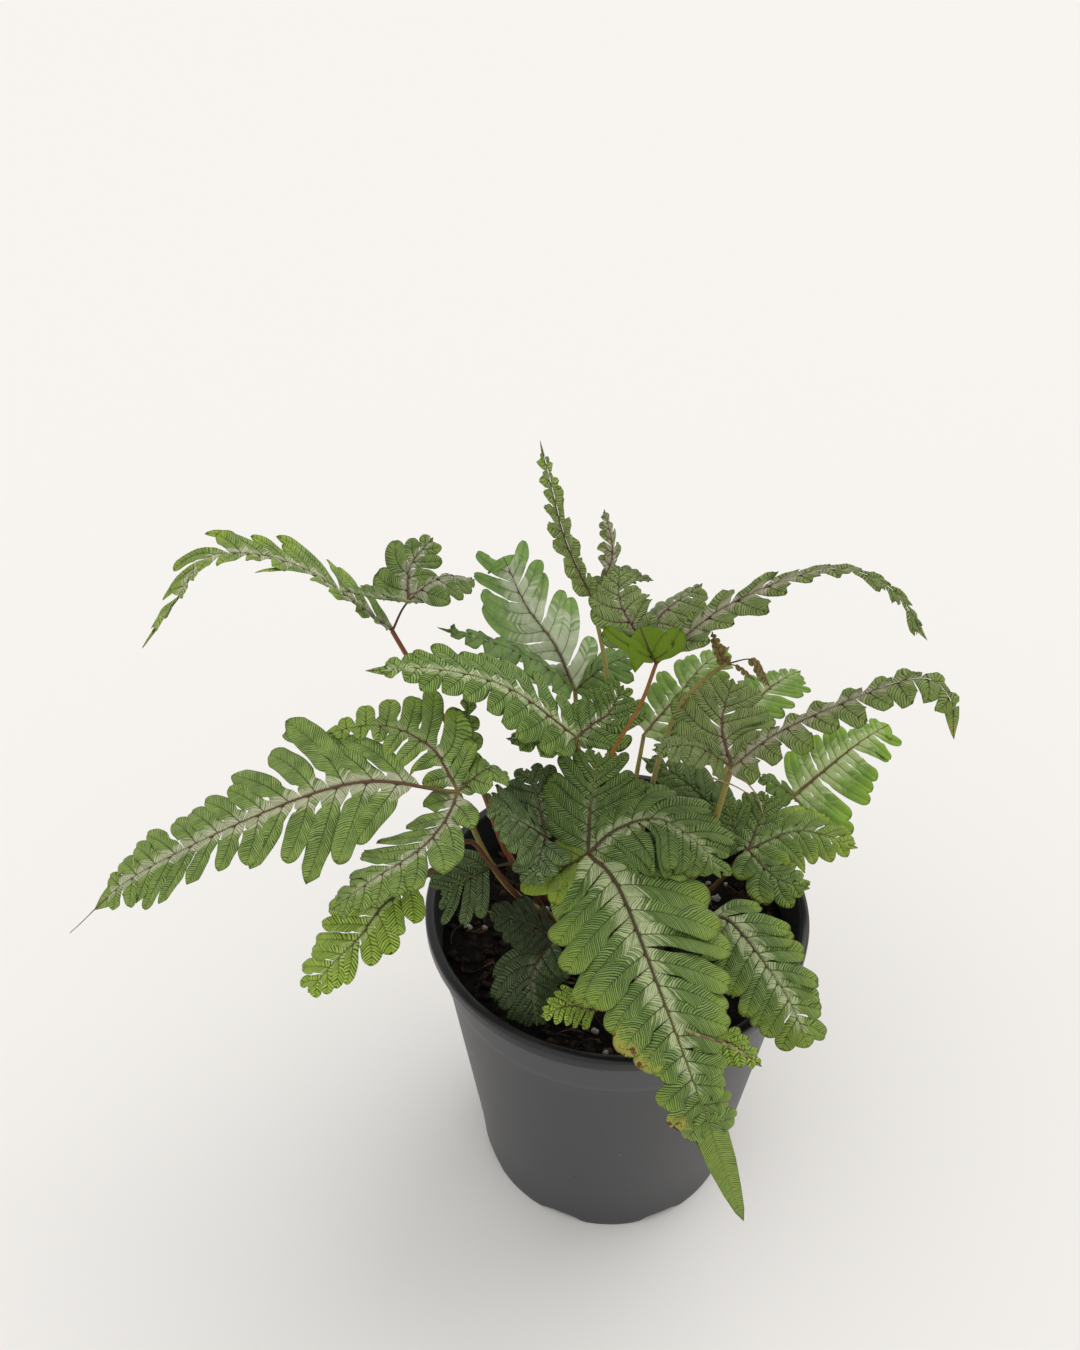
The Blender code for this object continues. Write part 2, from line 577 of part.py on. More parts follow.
def make_blade(name, frond, group):
    """The leaflets of one frond, joined at the fork into one solid."""
    fork = Vector(frond["fork"]) * MM
    body = knob(name + "_knob", fork)
    pieces = [leaflet(f"{name}_{i}", fork, spec) for i, spec in enumerate(frond["leaflets"])]
    for place in sorted({spec["from"] for spec in frond["leaflets"] if "from" in spec}):
        pieces.append(knob(name + "_knob", Vector(place) * MM))
    solids = []
    for piece in pieces:
        solid = bpy.data.objects.new(piece.name + "_solid", evaluated_mesh(piece))
        bpy.context.scene.collection.objects.link(solid)
        solids.append(solid)
        join = body.modifiers.new(solid.name, "BOOLEAN")
        join.operation = "UNION"
        join.use_self = True
        join.object = solid
    bpy.context.view_layer.update()
    joined = evaluated_mesh(body)
    for obj in [body, *pieces, *solids]:
        bpy.data.objects.remove(obj)
    joined.name = name
    add_object(name, joined, group, material(name, frond["leaf"], 0.5))


def main():
    clear_scene()
    group = collection("potted_candy_stripe_fern")
    cutters = collection("cutters")
    make_pot(group, cutters)
    make_soil(group)
    make_crown(group)
    for name, frond in FRONDS.items():
        make_stalk(name + "_stalk", frond, group)
        make_blade(name + "_blade", frond, group)


main()
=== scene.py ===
import math
import bpy
import numpy as np
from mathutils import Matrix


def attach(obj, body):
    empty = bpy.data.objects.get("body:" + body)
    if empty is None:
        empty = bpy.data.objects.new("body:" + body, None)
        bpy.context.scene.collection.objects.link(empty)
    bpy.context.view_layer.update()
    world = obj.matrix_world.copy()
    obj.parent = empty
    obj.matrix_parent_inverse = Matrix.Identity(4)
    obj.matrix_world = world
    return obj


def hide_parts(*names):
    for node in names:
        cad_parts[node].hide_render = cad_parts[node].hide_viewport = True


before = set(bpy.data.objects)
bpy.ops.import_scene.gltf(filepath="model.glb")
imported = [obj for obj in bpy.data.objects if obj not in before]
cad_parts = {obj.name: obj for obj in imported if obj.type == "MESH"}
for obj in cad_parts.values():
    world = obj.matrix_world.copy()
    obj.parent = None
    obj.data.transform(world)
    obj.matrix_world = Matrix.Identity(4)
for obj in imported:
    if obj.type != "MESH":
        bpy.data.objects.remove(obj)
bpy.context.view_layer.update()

# Potted candy stripe fern: leaves, stalks, crown, potting mix and pot, built around the CAD nodes.

mm = 0.001
noTriangles = np.zeros((0, 3), int)


def unit(vectors):  # each row divided by its length
    vectors = np.asarray(vectors, float)
    return vectors / np.linalg.norm(vectors, axis=-1, keepdims=True)


def ease(value, low, high):  # 0 below low, 1 above high, 3t^2 - 2t^3 between
    t = np.clip((value - low) / (high - low), 0, 1)
    return t * t * (3 - 2 * t)


def smoothPath(points, count):
    # A curve through the points whose slope at each is half the step between its neighbours,
    # read at evenly spaced lengths. Gives the places, the unit slopes and the whole length.
    knots = np.asarray(points, float)
    knots = np.vstack([2 * knots[0] - knots[1], knots, 2 * knots[-1] - knots[-2]])
    t = np.linspace(0, 1, 24, endpoint=False)[None, :, None]
    before, start, end, after = (knots[k:len(knots) - 3 + k, None] for k in range(4))
    curve = 0.5 * (2 * start + (end - before) * t
                   + (2 * before - 5 * start + 4 * end - after) * t ** 2
                   + (3 * start - before - 3 * end + after) * t ** 3)
    curve = np.vstack([curve.reshape(-1, 3), knots[-2]])
    run = np.concatenate([[0], np.cumsum(np.linalg.norm(np.diff(curve, axis=0), axis=1))])
    at = np.linspace(0, run[-1], count)
    places = np.stack([np.interp(at, run, curve[:, k]) for k in range(3)], 1)
    return places, unit(np.gradient(places, axis=0)), run[-1]


def ringFaces(rows, steps):
    # Faces of rings stored one after another, with the middles of the first and the last ring stored after
    # them: quads between neighbouring rings, and a fan of triangles from each middle.
    ring = np.arange(steps)
    follow = (ring + 1) % steps
    first = (np.arange(rows - 1) * steps)[:, None]
    quads = np.stack([first + ring, first + follow, first + steps + follow, first + steps + ring], -1)
    last, middle = (rows - 1) * steps, np.full(steps, rows * steps)
    triangles = np.vstack([np.stack([follow, ring, middle], 1),
                           np.stack([last + ring, last + follow, middle + 1], 1)])
    return quads.reshape(-1, 4), triangles


def turnedOver(quads, triangles):  # the same faces looking the other way
    return quads[:, ::-1], triangles[:, [1, 0, 2]]


def ringPoints(radii, heights, turn):  # rings about Z, from radii and heights that fit rows x turns
    x, y = radii * np.cos(turn), radii * np.sin(turn)
    return np.stack([x, y, np.broadcast_to(heights, x.shape)], -1).reshape(-1, 3)


def buildMesh(name, points, quads, triangles=noTriangles, smooth=True):
    corners = np.concatenate([np.ravel(quads), np.ravel(triangles)]).astype(np.int32)
    sizes = np.concatenate([np.full(len(quads), 4), np.full(len(triangles), 3)])
    mesh = bpy.data.meshes.new(name)
    mesh.vertices.add(len(points))
    mesh.vertices.foreach_set("co", np.ravel(points).astype(np.float32))
    mesh.loops.add(len(corners))
    mesh.loops.foreach_set("vertex_index", corners)
    mesh.polygons.add(len(sizes))
    mesh.polygons.foreach_set("loop_start", np.concatenate([[0], np.cumsum(sizes)[:-1]]).astype(np.int32))
    mesh.update(calc_edges=True)
    if smooth:
        mesh.shade_smooth()
    return mesh


def setAttributes(mesh, values):  # one number per vertex under each name
    for name, numbers in values.items():
        layer = mesh.attributes.new(name, "FLOAT", "POINT")
        layer.data.foreach_set("value", np.ravel(numbers).astype(np.float32))


def setMap(mesh, name, pairs):  # a UV map from one pair per vertex
    layer = mesh.uv_layers.new(name=name)
    corners = np.zeros(len(mesh.loops), np.int32)
    mesh.loops.foreach_get("vertex_index", corners)
    layer.data.foreach_set("uv", np.ravel(np.asarray(pairs)[corners]).astype(np.float32))


def addPiece(name, mesh, material, nodes=()):  # nodes are the CAD nodes that it stands in for
    mesh.materials.append(material)
    piece = bpy.data.objects.new(name, mesh)
    bpy.context.scene.collection.objects.link(piece)
    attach(piece, "root")
    if nodes:
        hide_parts(*nodes)


def tube(places, slopes, uprights, radii, sides):
    # Circles of the given radii across a path, drawn in to a middle at both ends.
    # Each point is place + radius * (cos(turn) * upright + sin(turn) * (slope x upright)).
    turn = (np.arange(sides) * math.tau / sides)[:, None]
    beside = unit(np.cross(slopes, uprights))
    upright = np.cross(beside, slopes)
    circles = np.cos(turn) * upright[:, None] + np.sin(turn) * beside[:, None]
    rings = places[:, None] + radii[:, None, None] * circles
    points = np.vstack([rings.reshape(-1, 3), places[:1] - slopes[:1] * radii[0] * 0.4,
                        places[-1:] + slopes[-1:] * radii[-1] * 0.8])
    return (points, *ringFaces(len(places), sides))


def joined(shapes):
    # Several (points, quads, triangles) as one, their numbers shifted past the points before
    points, quads, triangles, shift = [], [], [], 0
    for somePoints, someQuads, someTriangles in shapes:
        points.append(somePoints)
        quads.append(someQuads + shift)
        triangles.append(someTriangles + shift)
        shift += len(somePoints)
    return np.vstack(points), np.vstack(quads), np.vstack(triangles)


def socketValue(value):  # a colour's three numbers get their alpha of 1
    return (*value, 1) if isinstance(value, tuple) else value


class NodeBuilder:  # adds nodes to one tree; all but node and feed return an output socket
    def __init__(self, tree):
        self.tree = tree

    def node(self, kind, inputs=None, **settings):
        made = self.tree.nodes.new(kind)
        for key, value in settings.items():
            setattr(made, key, value)
        for key, value in (inputs or {}).items():
            self.feed(made.inputs[key], value)
        return made

    def feed(self, socket, value):
        if isinstance(value, bpy.types.NodeSocket):
            self.tree.links.new(value, socket)
        else:
            socket.default_value = socketValue(value)

    def math(self, operation, first, second=0.0, clamp=False):
        made = self.node("ShaderNodeMath", {0: first, 1: second}, operation=operation, use_clamp=clamp)
        return made.outputs[0]

    def times(self, first, second, clamp=False):
        return self.math("MULTIPLY", first, second, clamp)

    def plus(self, first, second, clamp=False):
        return self.math("ADD", first, second, clamp)

    def minus(self, first, second, clamp=False):
        return self.math("SUBTRACT", first, second, clamp)

    def step(self, value, low, high, toLow=0.0, toHigh=1.0):  # smooth step from low to high
        made = self.node("ShaderNodeMapRange", {
            "Value": value, "From Min": low, "From Max": high, "To Min": toLow, "To Max": toHigh},
            interpolation_type="SMOOTHSTEP")
        return made.outputs["Result"]

    def mix(self, share, first, second, blend="MIX"):
        made = self.node("ShaderNodeMix", {"Factor": share}, data_type="RGBA", blend_type=blend)
        self.feed(made.inputs[6], first)
        self.feed(made.inputs[7], second)
        return made.outputs[2]

    def attribute(self, name):
        return self.node("ShaderNodeAttribute", attribute_name=name).outputs["Fac"]

    def noise(self, coordinates, scale, detail=3.0, roughness=0.55):
        made = self.node("ShaderNodeTexNoise", {
            "Vector": coordinates, "Scale": scale, "Detail": detail, "Roughness": roughness})
        return made.outputs[0]

    def objectPlace(self):
        return self.node("ShaderNodeTexCoord").outputs["Object"]

    def bump(self, height, strength, distance):
        made = self.node("ShaderNodeBump", {"Strength": strength, "Distance": distance, "Height": height})
        return made.outputs["Normal"]


def shaderGroup(name, inputs, outputs):
    # An empty node group. inputs: name -> default number or colour; outputs: name -> "Float" or "Color"
    tree = bpy.data.node_groups.new(name, "ShaderNodeTree")
    for label, default in inputs.items():
        kind = "Color" if isinstance(default, tuple) else "Float"
        socket = tree.interface.new_socket(label, in_out="INPUT", socket_type="NodeSocket" + kind)
        socket.default_value = socketValue(default)
    for label, kind in outputs.items():
        tree.interface.new_socket(label, in_out="OUTPUT", socket_type="NodeSocket" + kind)
    source = tree.nodes.new("NodeGroupInput").outputs
    sink = tree.nodes.new("NodeGroupOutput").inputs
    return tree, NodeBuilder(tree), source, sink


def newMaterial(name, values):
    # A Principled material with its constant sockets set
    material = bpy.data.materials.new(name)
    material.use_nodes = True
    shader = material.node_tree.nodes["Principled BSDF"]
    for label, value in values.items():
        shader.inputs[label].default_value = socketValue(value)
    return material, NodeBuilder(material.node_tree), shader


def useGroup(build, group, values):  # the group's outputs in another tree, with its inputs set
    made = build.node("ShaderNodeGroup", values, node_tree=group)
    return made.outputs


def grainyMaterial(name, look):
    # A noise takes the base colour from the first of two colours to the second and raises the surface. A
    # broader noise may lay patches of a third colour over it and, if it has a lift, raise it too.
    material, build, shader = newMaterial(name, look["surface"])
    place = build.objectPlace()
    grain = build.noise(place, *look["grain"])
    colour = build.mix(build.step(grain, *look["grainRange"]), *look["colours"])
    height = grain
    if "patch" in look:
        patch = build.noise(place, *look["patch"])
        colour = build.mix(build.step(patch, *look["patchRange"]), colour, look["patchColour"])
        if "lift" in look:
            height = build.plus(grain, build.times(patch, look["lift"]))
    build.feed(shader.inputs["Base Color"], colour)
    if "bump" in look:
        build.feed(shader.inputs["Normal"], build.bump(height, *look["bump"]))
    return material


# A leaflet's values where fernFronds gives none. Of two sides, seen from the fork, the first is the left.
usualLeaflet = {
    "start": None,       # where its path begins, if not at the frond's fork
    "face": (0, 0, 1),   # where its upper side looks
    "droop": 8,          # degrees that both sides hang
    "droops": None,      # the same for each side's lobes, where they differ
    "bare": 0,           # share of the rib with no blade at its start
    "tail": 0,           # and at its end, where the rib has dried
    "tip": 0.08,         # share of the blade with no lobes, at its end
    "round": 1,          # how round that end is: 1 is a point with nearly straight sides
    "widths": None,      # its outline: places along the blade and shares of half
    "sides": (1, 1),     # shares of half for each side's lobes
    "closing": 0.12,     # how much closer the lobes are at the tip than at the fork
    "lean": (76, 50),    # a lobe's angle to the rib at the fork and at the tip
    "leans": None,       # the same for each side, where they differ
    "turn": 26,          # degrees that a lobe turns towards the tip on its way out
    "uneven": 1,         # how much the lobes' angles and lengths vary
    "open": 0,           # how much narrower than its place a lobe is
    "fused": 0.03,       # share of a lobe's length in which it is one sheet with its neighbours
    "notch": 0.2,        # how deep the gaps cut in where the lobes part
    "point": 0.15,       # how pointed the lobes are; below 0, blunt
    "curl": 1,           # how far their ends bend down
    "twist": 1,          # how much they turn about their middle lines
    "band": 0,           # how far silver reaches out from the rib, in mm
    "fade": 1.1,         # share of the blade at which silver has gone
    "shade": 0,          # painted shade: how much darker it is painted, as where it lies in shadow; below 0, painted light, lighter
    "fresh": 0.35,       # how yellow-green the lobes' ends are; above 1, the whole leaflet, its veins fading
    "dry": (),           # numbers of the lobes on the right, from the fork, with scorched ends
    "burnt": 0,          # how scorched the unlobed end is
}


def leaflet(half, lobes, path, **own):
    # half is the width of one side in mm, lobes their number on one side, path what the rib passes to its tip
    return {**usualLeaflet, "half": half, "lobes": lobes, "path": path, **own}


# The fronds, in millimetres, as the CAD has them. kind is the leaf's colouring, stem and radius the
# stalk's colouring and radius, root where it leaves the crown, stalk what it passes and fork where the
# leaflets meet.
fernFronds = {
    "front": {
        "kind": "striped", "stem": "brown", "radius": 1.5, "root": (-3, -11), "stalk": [(-15, -18, 172)],
        "fork": (-13, -25, 195), "leaflets": [
        leaflet(29, 12, [(-3, -39, 193), (10, -76, 181), (22, -102, 160), (40, -112, 105)], droop=12,
                face=(0, -0.6, 1), band=6.5, fresh=0.85, notch=-0.12, lean=(86, 62), tip=0.31,
                dry=[6, 7, 10], point=-0.5, closing=0.2, fused=0.24, fade=0.64, round=1.5, uneven=1.6,
                sides=(1.05, 0.94), widths=[(0, 0.95), (0.15, 1), (0.27, 0.92), (0.36, 0.73),
                (0.45, 0.52), (0.54, 0.44), (0.63, 0.34), (0.7, 0.28), (1, 0.1)]),
        leaflet(22, 8, [(-3, -22, 204), (12, -20, 207), (26, -27, 201), (33, -35, 193)], droop=12,
                face=(0, -0.3, 1), band=2.5, shade=0.25, point=-0.3),
        leaflet(12, 2, [(-24, -30, 191), (-37, -33, 185)], face=(0, -0.5, 1), fresh=1.5, shade=0.15,
                tip=0.5, round=2, point=-0.5),
        leaflet(21, 6, [(-12, -13, 207), (-9, 0, 221)], face=(0, -0.7, 1), band=1.2, shade=0.4),
    ]},
    "left": {
        "kind": "green", "stem": "olive", "radius": 1.2, "root": (-13, -7),
        "stalk": [(-37, -10, 155), (-49, -14, 181)], "fork": (-58, -22, 222), "leaflets": [
        leaflet(28, 13, [(-98, -27, 229), (-166, -33, 196), (-200, -36, 165)], face=(0, -0.5, 1),
                band=4.6, open=0.3, notch=0.8, leans=((72, 44), (60, 62)), twist=1.8, bare=0.09, tail=0.1,
                point=1, sides=(0.92, 1.1), uneven=1.9, widths=[(0, 0.7), (0.12, 1), (0.19, 0.92),
                (0.26, 0.8), (0.32, 0.64), (0.42, 0.52), (0.55, 0.45), (0.68, 0.4), (0.8, 0.33),
                (0.9, 0.22), (1, 0.1)]),
        leaflet(20, 7, [(-63, -16, 229), (-67, -12, 233), (-78, -8, 238), (-90, -6, 238),
                (-105, -6, 234)], droop=4, bare=0.02, face=(0, -0.6, 1), band=0.9, open=0.56,
                leans=((84, 80), (62, 94)), turn=8, fresh=0.9, sides=(0.72, 1.05), uneven=1.4,
                widths=[(0, 0.45), (0.15, 0.82), (0.27, 1), (0.42, 0.8), (0.53, 0.55), (0.65, 0.4),
                (0.8, 0.28), (1, 0.1)]),
        leaflet(7, 5, [(-56, -8, 229), (-55, 8, 243)], droop=6, band=1, open=0.15, shade=0.1,
                face=(0, -0.8, 1)),
        leaflet(17, 8, [(-61, -32, 220), (-67, -42, 218), (-75, -50, 217), (-83, -56, 216),
                (-98, -62, 207)], droop=10, band=2.5, shade=0.15, open=0.14, point=0.6, uneven=1.6,
                sides=(0.75, 1), widths=[(0, 0.55), (0.2, 0.85), (0.5, 0.9), (0.8, 0.5), (1, 0.15)]),
        leaflet(9, 3, [(-48, -17, 228), (-41, -13, 222)], droop=10, bare=0.2, fresh=0.8),
    ]},
    "left_low": {
        "kind": "bright", "stem": "brown", "radius": 1, "root": (-11, -14),
        "stalk": [(-34, -17, 158), (-48, -22, 187), (-56, -28, 204)], "fork": (-72, -36, 192),
        "leaflets": [
        leaflet(17, 8, [(-83, -46, 192), (-91, -54, 185), (-98, -60, 181), (-109, -66, 170)],
                face=(0, -0.3, 1), band=2, open=0.14, fresh=0.75, tip=0.04, notch=0.5, uneven=1.4,
                sides=(0.7, 1.05), widths=[(0, 0.9), (0.3, 1), (0.5, 0.78), (0.7, 0.55), (0.85, 0.36),
                (1, 0.15)]),
    ]},
    "left_high": {
        "kind": "green", "stem": "red", "radius": 1.15, "root": (-18, 2),
        "stalk": [(-41, 9, 156), (-55, 17, 196)], "fork": (-83, 30, 252), "leaflets": [
        leaflet(15, 13, [(-112, 24, 283), (-138, 16, 293), (-151, 9, 280), (-165, 5, 263)], droop=-14,
                band=3, open=0.42, lean=(62, 46), twist=2.5, sides=(0.55, 1), fresh=1.1, point=0.6,
                uneven=3),
        leaflet(12, 4, [(-77, 34, 262), (-65, 44, 266), (-54, 54, 258)], droop=25, bare=0.35, band=3,
                shade=0.4, open=0.15),
        leaflet(8, 6, [(-87, 22, 272), (-96, 12, 282)], droop=-20, band=3, shade=0.4,
                start=(-77, 34, 262)),
        leaflet(13, 4, [(-77, 47, 268), (-69, 58, 274)], face=(0, -0.8, 1), band=3, shade=0.35, open=0.18,
                start=(-77, 34, 262)),
    ]},
    "back_left": {
        "kind": "silver", "stem": "olive", "radius": 1.2, "root": (-7, 14), "stalk": [(-13, 38, 164)],
        "fork": (-16, 58, 202), "leaflets": [
        leaflet(24, 6, [(-24, 72, 214), (-36, 88, 223), (-45, 102, 237)], droops=(52, 8),
                face=(0, -0.5, 1), band=17, open=0.42, lean=(66, 50), twist=2, round=2, tip=0.06,
                widths=[(0, 0.8), (0.3, 0.95), (0.7, 0.75), (0.9, 0.55), (1, 0.4)], sides=(1.15, 0.8),
                uneven=1.8),
        leaflet(12, 7, [(-32, 55, 219), (-50, 48, 234), (-68, 42, 245)], droop=10, shade=0.35, twist=2,
                open=0.1, fresh=0.6),
        leaflet(13, 5, [(-4, 62, 211), (12, 64, 218)], shade=0.35, fresh=0.6),
    ]},
    "centre_left": {
        "kind": "striped", "stem": "olive", "radius": 1.05, "root": (-9, 2), "stalk": [(-18, 3, 175)],
        "fork": (-17, 5, 223), "leaflets": [
        leaflet(19, 9, [(-41, 2, 248), (-66, 0, 258), (-89, -2, 259)], droop=10, face=(0, -0.3, 1),
                band=2.7, open=0.14, notch=0.5, shade=-0.25, sides=(0.74, 1), uneven=1.8),
        leaflet(9, 4, [(-28, 2, 225), (-42, -1, 228)], droop=10, shade=-0.1),
        leaflet(14, 6, [(-11, 9, 226), (-5, 13, 228), (0, 18, 237)], droop=6, face=(0, -0.6, 1),
                shade=0.1, band=1.5, open=0.1),
        leaflet(6, 4, [(-10, 12, 220), (1, 18, 216)], droop=20, shade=0.3),
    ]},
    "top": {
        "kind": "olive", "stem": "olive", "radius": 1, "root": (-3, 8),
        "stalk": [(-4, 18, 203), (-6, 24, 238)], "fork": (-12, 25, 270), "leaflets": [
        leaflet(5.4, 8, [(-21, 18, 296), (-26, 7, 322), (-30, -1, 345)], droop=35, face=(0.3, -1, 0.3),
                twist=2, fresh=1, shade=-0.35, uneven=2.5, fused=0.9, open=-0.1),
        leaflet(5, 5, [(-5, 33, 282), (-8, 38, 298)], droop=35, bare=0.3, face=(0.4, -1, 0.3), band=3,
                shade=-0.1, twist=2, fused=0.6),
        leaflet(7, 5, [(-3, 30, 275), (10, 33, 272)], droop=-15, shade=0.4),
    ]},
    "centre_top": {
        "kind": "olive", "stem": "orange", "radius": 0.85, "root": (-2, -4),
        "stalk": [(-9, 4, 195), (-4, -1, 222), (4, -5, 246)], "fork": (8, -10, 268), "leaflets": [
        leaflet(8.5, 9, [(29, -9, 290), (58, -9, 304), (78, -12, 300), (93, -16, 282)], droop=4,
                bare=0.08, band=2, fade=0.8, twist=1.6, open=0.02, point=0.5, burnt=0.8,
                face=(0, -0.35, 1), lean=(62, 34), fused=0.75, uneven=2.5, fresh=0.5, widths=[(0, 0.9),
                (0.15, 1.1), (0.28, 0.8), (0.38, 0.42), (0.6, 0.34), (0.8, 0.48), (1, 0.15)],
                sides=(0.6, 0.95)),
        leaflet(11, 6, [(4, -11, 276), (-4, -3, 287), (-4, 12, 292)], droop=6, bare=0.25,
                face=(0, -0.6, 1), band=1.2, shade=0.1),
        leaflet(15, 5, [(10, 1, 280), (25, 18, 281)], droop=30, band=1.5, shade=0.15,
                start=(4, -11, 276)),
        leaflet(15, 1, [(6, -13, 274), (2, -10, 283)], droop=-30, fresh=2, shade=0.3,
                leans=((46, 42), (76, 70)), tip=0.6, bare=0.15, face=(0, -0.8, 0.6), round=2.4,
                point=-0.8, sides=(0.9, 0.9)),
    ]},
    "right": {
        "kind": "olive", "stem": "olive", "radius": 1.3, "root": (12, -5), "stalk": [(29, -7, 170)],
        "fork": (36, -15, 227), "leaflets": [
        leaflet(9, 9, [(52, -18, 247), (86, -26, 274), (98, -31, 271), (102, -34, 256)], band=1.7,
                fade=0.95, open=0.24, twist=2.2, sides=(0.46, 0.95), burnt=0.5, face=(0, -0.4, 1),
                fused=0.5, lean=(70, 60), tip=0.1, point=-0.3, fresh=0.9, uneven=2.5, widths=[(0, 1),
                (0.3, 0.85), (0.6, 0.95), (0.8, 0.7), (0.9, 0.4), (1, 0.2)]),
        leaflet(20, 5, [(33, -3, 236), (38, 13, 244)], droop=6, face=(0, -0.4, 1), band=1.5, fresh=0.5),
        leaflet(12, 5, [(22, -18, 239), (7, -24, 243)], droop=12, bare=0.1, shade=0.2),
    ]},
    "young": {
        "kind": "russet", "stem": "olive", "radius": 1, "root": (4, 1),
        "stalk": [(10, 2, 195), (17, 5, 232), (26, 7, 247)], "fork": (34, 8, 254), "leaflets": [
        leaflet(3, 6, [(43, 5, 258), (49, 2, 249)], droop=10, bare=0.4, curl=3),
        leaflet(2, 4, [(39, 9, 252), (45, 8, 247)], droop=10, bare=0.3, curl=3),
        leaflet(2.5, 5, [(31, 11, 259), (29, 14, 264)], droop=10, face=(0, -1, 0), curl=3),
    ]},
    "back_centre": {
        "kind": "smooth", "stem": "olive", "radius": 1.1, "root": (5, 15), "stalk": [(7, 33, 162)],
        "fork": (12, 52, 184), "leaflets": [
        leaflet(19, 7, [(26, 68, 190), (38, 84, 194), (51, 98, 194)], open=0.38, shade=0.15, band=5,
                twist=1.5),
    ]},
    "back_right": {
        "kind": "smooth", "stem": "olive", "radius": 1.1, "root": (11, 12),
        "stalk": [(37, 27, 146), (43, 40, 166)], "fork": (56, 68, 183), "leaflets": [
        leaflet(15, 6, [(68, 82, 185), (83, 98, 181)], open=0.38, shade=0.1, band=4),
    ]},
    "right_back": {
        "kind": "smooth", "stem": "olive", "radius": 1.1, "root": (16, 6), "stalk": [(44, 22, 147)],
        "fork": (72, 35, 166), "leaflets": [
        leaflet(24, 8, [(100, 56, 175), (116, 69, 175)], open=0.42, fresh=0.85, band=9, twist=2.2,
                round=1.5, sides=(0.75, 1.05), face=(0, -0.2, 1), leans=((78, 62), (98, 62)),
                droops=(8, 22), uneven=2, widths=[(0, 1.12), (0.15, 1.05), (0.35, 0.8), (0.6, 0.55),
                (0.8, 0.4), (1, 0.3)]),
        leaflet(8, 3, [(66, 36, 170), (58, 38, 174)], droop=10, shade=0.6),
        leaflet(7, 3, [(76, 38, 160), (80, 41, 153)], droop=10, shade=0.6),
    ]},
    "right_middle": {
        "kind": "striped", "stem": "brown", "radius": 1.1, "root": (18, -1), "stalk": [(36, 2, 146)],
        "fork": (50, 5, 166), "leaflets": [
        leaflet(17, 5, [(71, 13, 168), (94, 10, 162)], shade=0.05, band=0.9, fresh=1.2, open=0.2,
                face=(0, -0.2, 1)),
        leaflet(13, 4, [(59, -8, 164), (71, -14, 165)], shade=0.2, band=0.9, fresh=1, face=(0, -0.2, 1)),
        leaflet(12, 5, [(46, 12, 168), (42, 20, 178)], shade=0.4, band=0.9, face=(0, -0.5, 1)),
        leaflet(12, 5, [(55, 16, 170), (59, 24, 178)], shade=0.15, band=0.9, face=(0, -0.5, 1)),
        leaflet(14, 7, [(41, 22, 167), (26, 34, 176), (10, 42, 181)], shade=0.55, face=(0, -0.4, 1)),
    ]},
    "inner_left": {
        "kind": "grey", "stem": "brown", "radius": 1.1, "root": (-9, -6), "stalk": [(-22, -13, 168)],
        "fork": (-28, -18, 196), "leaflets": [
        leaflet(15, 5, [(-37, -22, 208), (-48, -26, 220)], band=1.5, fresh=0.6, face=(0, -0.3, 1)),
        leaflet(11, 3, [(-30, -28, 197), (-33, -38, 193)], band=1),
        leaflet(15, 4, [(-31, -9, 206), (-35, 0, 213)], band=0.9, face=(0, -0.6, 1), shade=0.35),
    ]},
    "front_right": {
        "kind": "striped", "stem": "brown", "radius": 1.1, "root": (6, -11), "stalk": [(20, -20, 155)],
        "fork": (31, -28, 166), "leaflets": [
        leaflet(18, 8, [(40, -36, 169), (56, -56, 157), (64, -70, 145)], droop=10, face=(0, -0.2, 1),
                band=5, shade=0.12, fresh=1, tip=0.1, round=1.8, closing=0, lean=(78, 62), point=-0.3,
                widths=[(0, 0.85), (0.25, 1), (0.6, 0.8), (0.8, 0.55), (1, 0.4)]),
    ]},
    "inner_front": {
        "kind": "grey", "stem": "brown", "radius": 1, "root": (-8, -16), "stalk": [(-19, -24, 148)],
        "fork": (-25, -30, 156), "leaflets": [
        leaflet(16, 7, [(-33, -41, 148), (-31, -53, 134)], droop=6, face=(0, -0.3, 1), band=2,
                shade=0.62),
        leaflet(11, 5, [(-35, -32, 167), (-49, -33, 174)], shade=0.9, face=(0, -0.3, 1)),
    ]},
    "sprout": {
        "kind": "bright", "stem": "olive", "radius": 0.8, "root": (-2, -18), "stalk": [(-4, -40, 140)],
        "fork": (-10, -55, 146), "leaflets": [
        leaflet(9, 5, [(-20, -60, 155), (-30, -63, 153)], face=(0, -0.4, 1), open=0.4, point=0.8),
    ]},
    "inner_low": {
        "kind": "grey", "stem": "brown", "radius": 1, "root": (-18, -11.5), "stalk": [(-28, -12.5, 151)],
        "fork": (-39, -16, 181), "leaflets": [
        leaflet(17, 4, [(-51, -19, 180), (-66, -26, 175)], droop=10, bare=0.3, shade=0.1,
                face=(0, -0.5, 1), open=0.12),
    ]},
    "rim_right": {
        "kind": "bright", "stem": "olive", "radius": 0.8, "root": (4, -17), "stalk": [(14, -44, 141)],
        "fork": (25, -65, 147), "leaflets": [
        leaflet(9, 5, [(36, -73, 151), (46, -80, 148)], shade=0.1, open=0.2),
    ]},
}


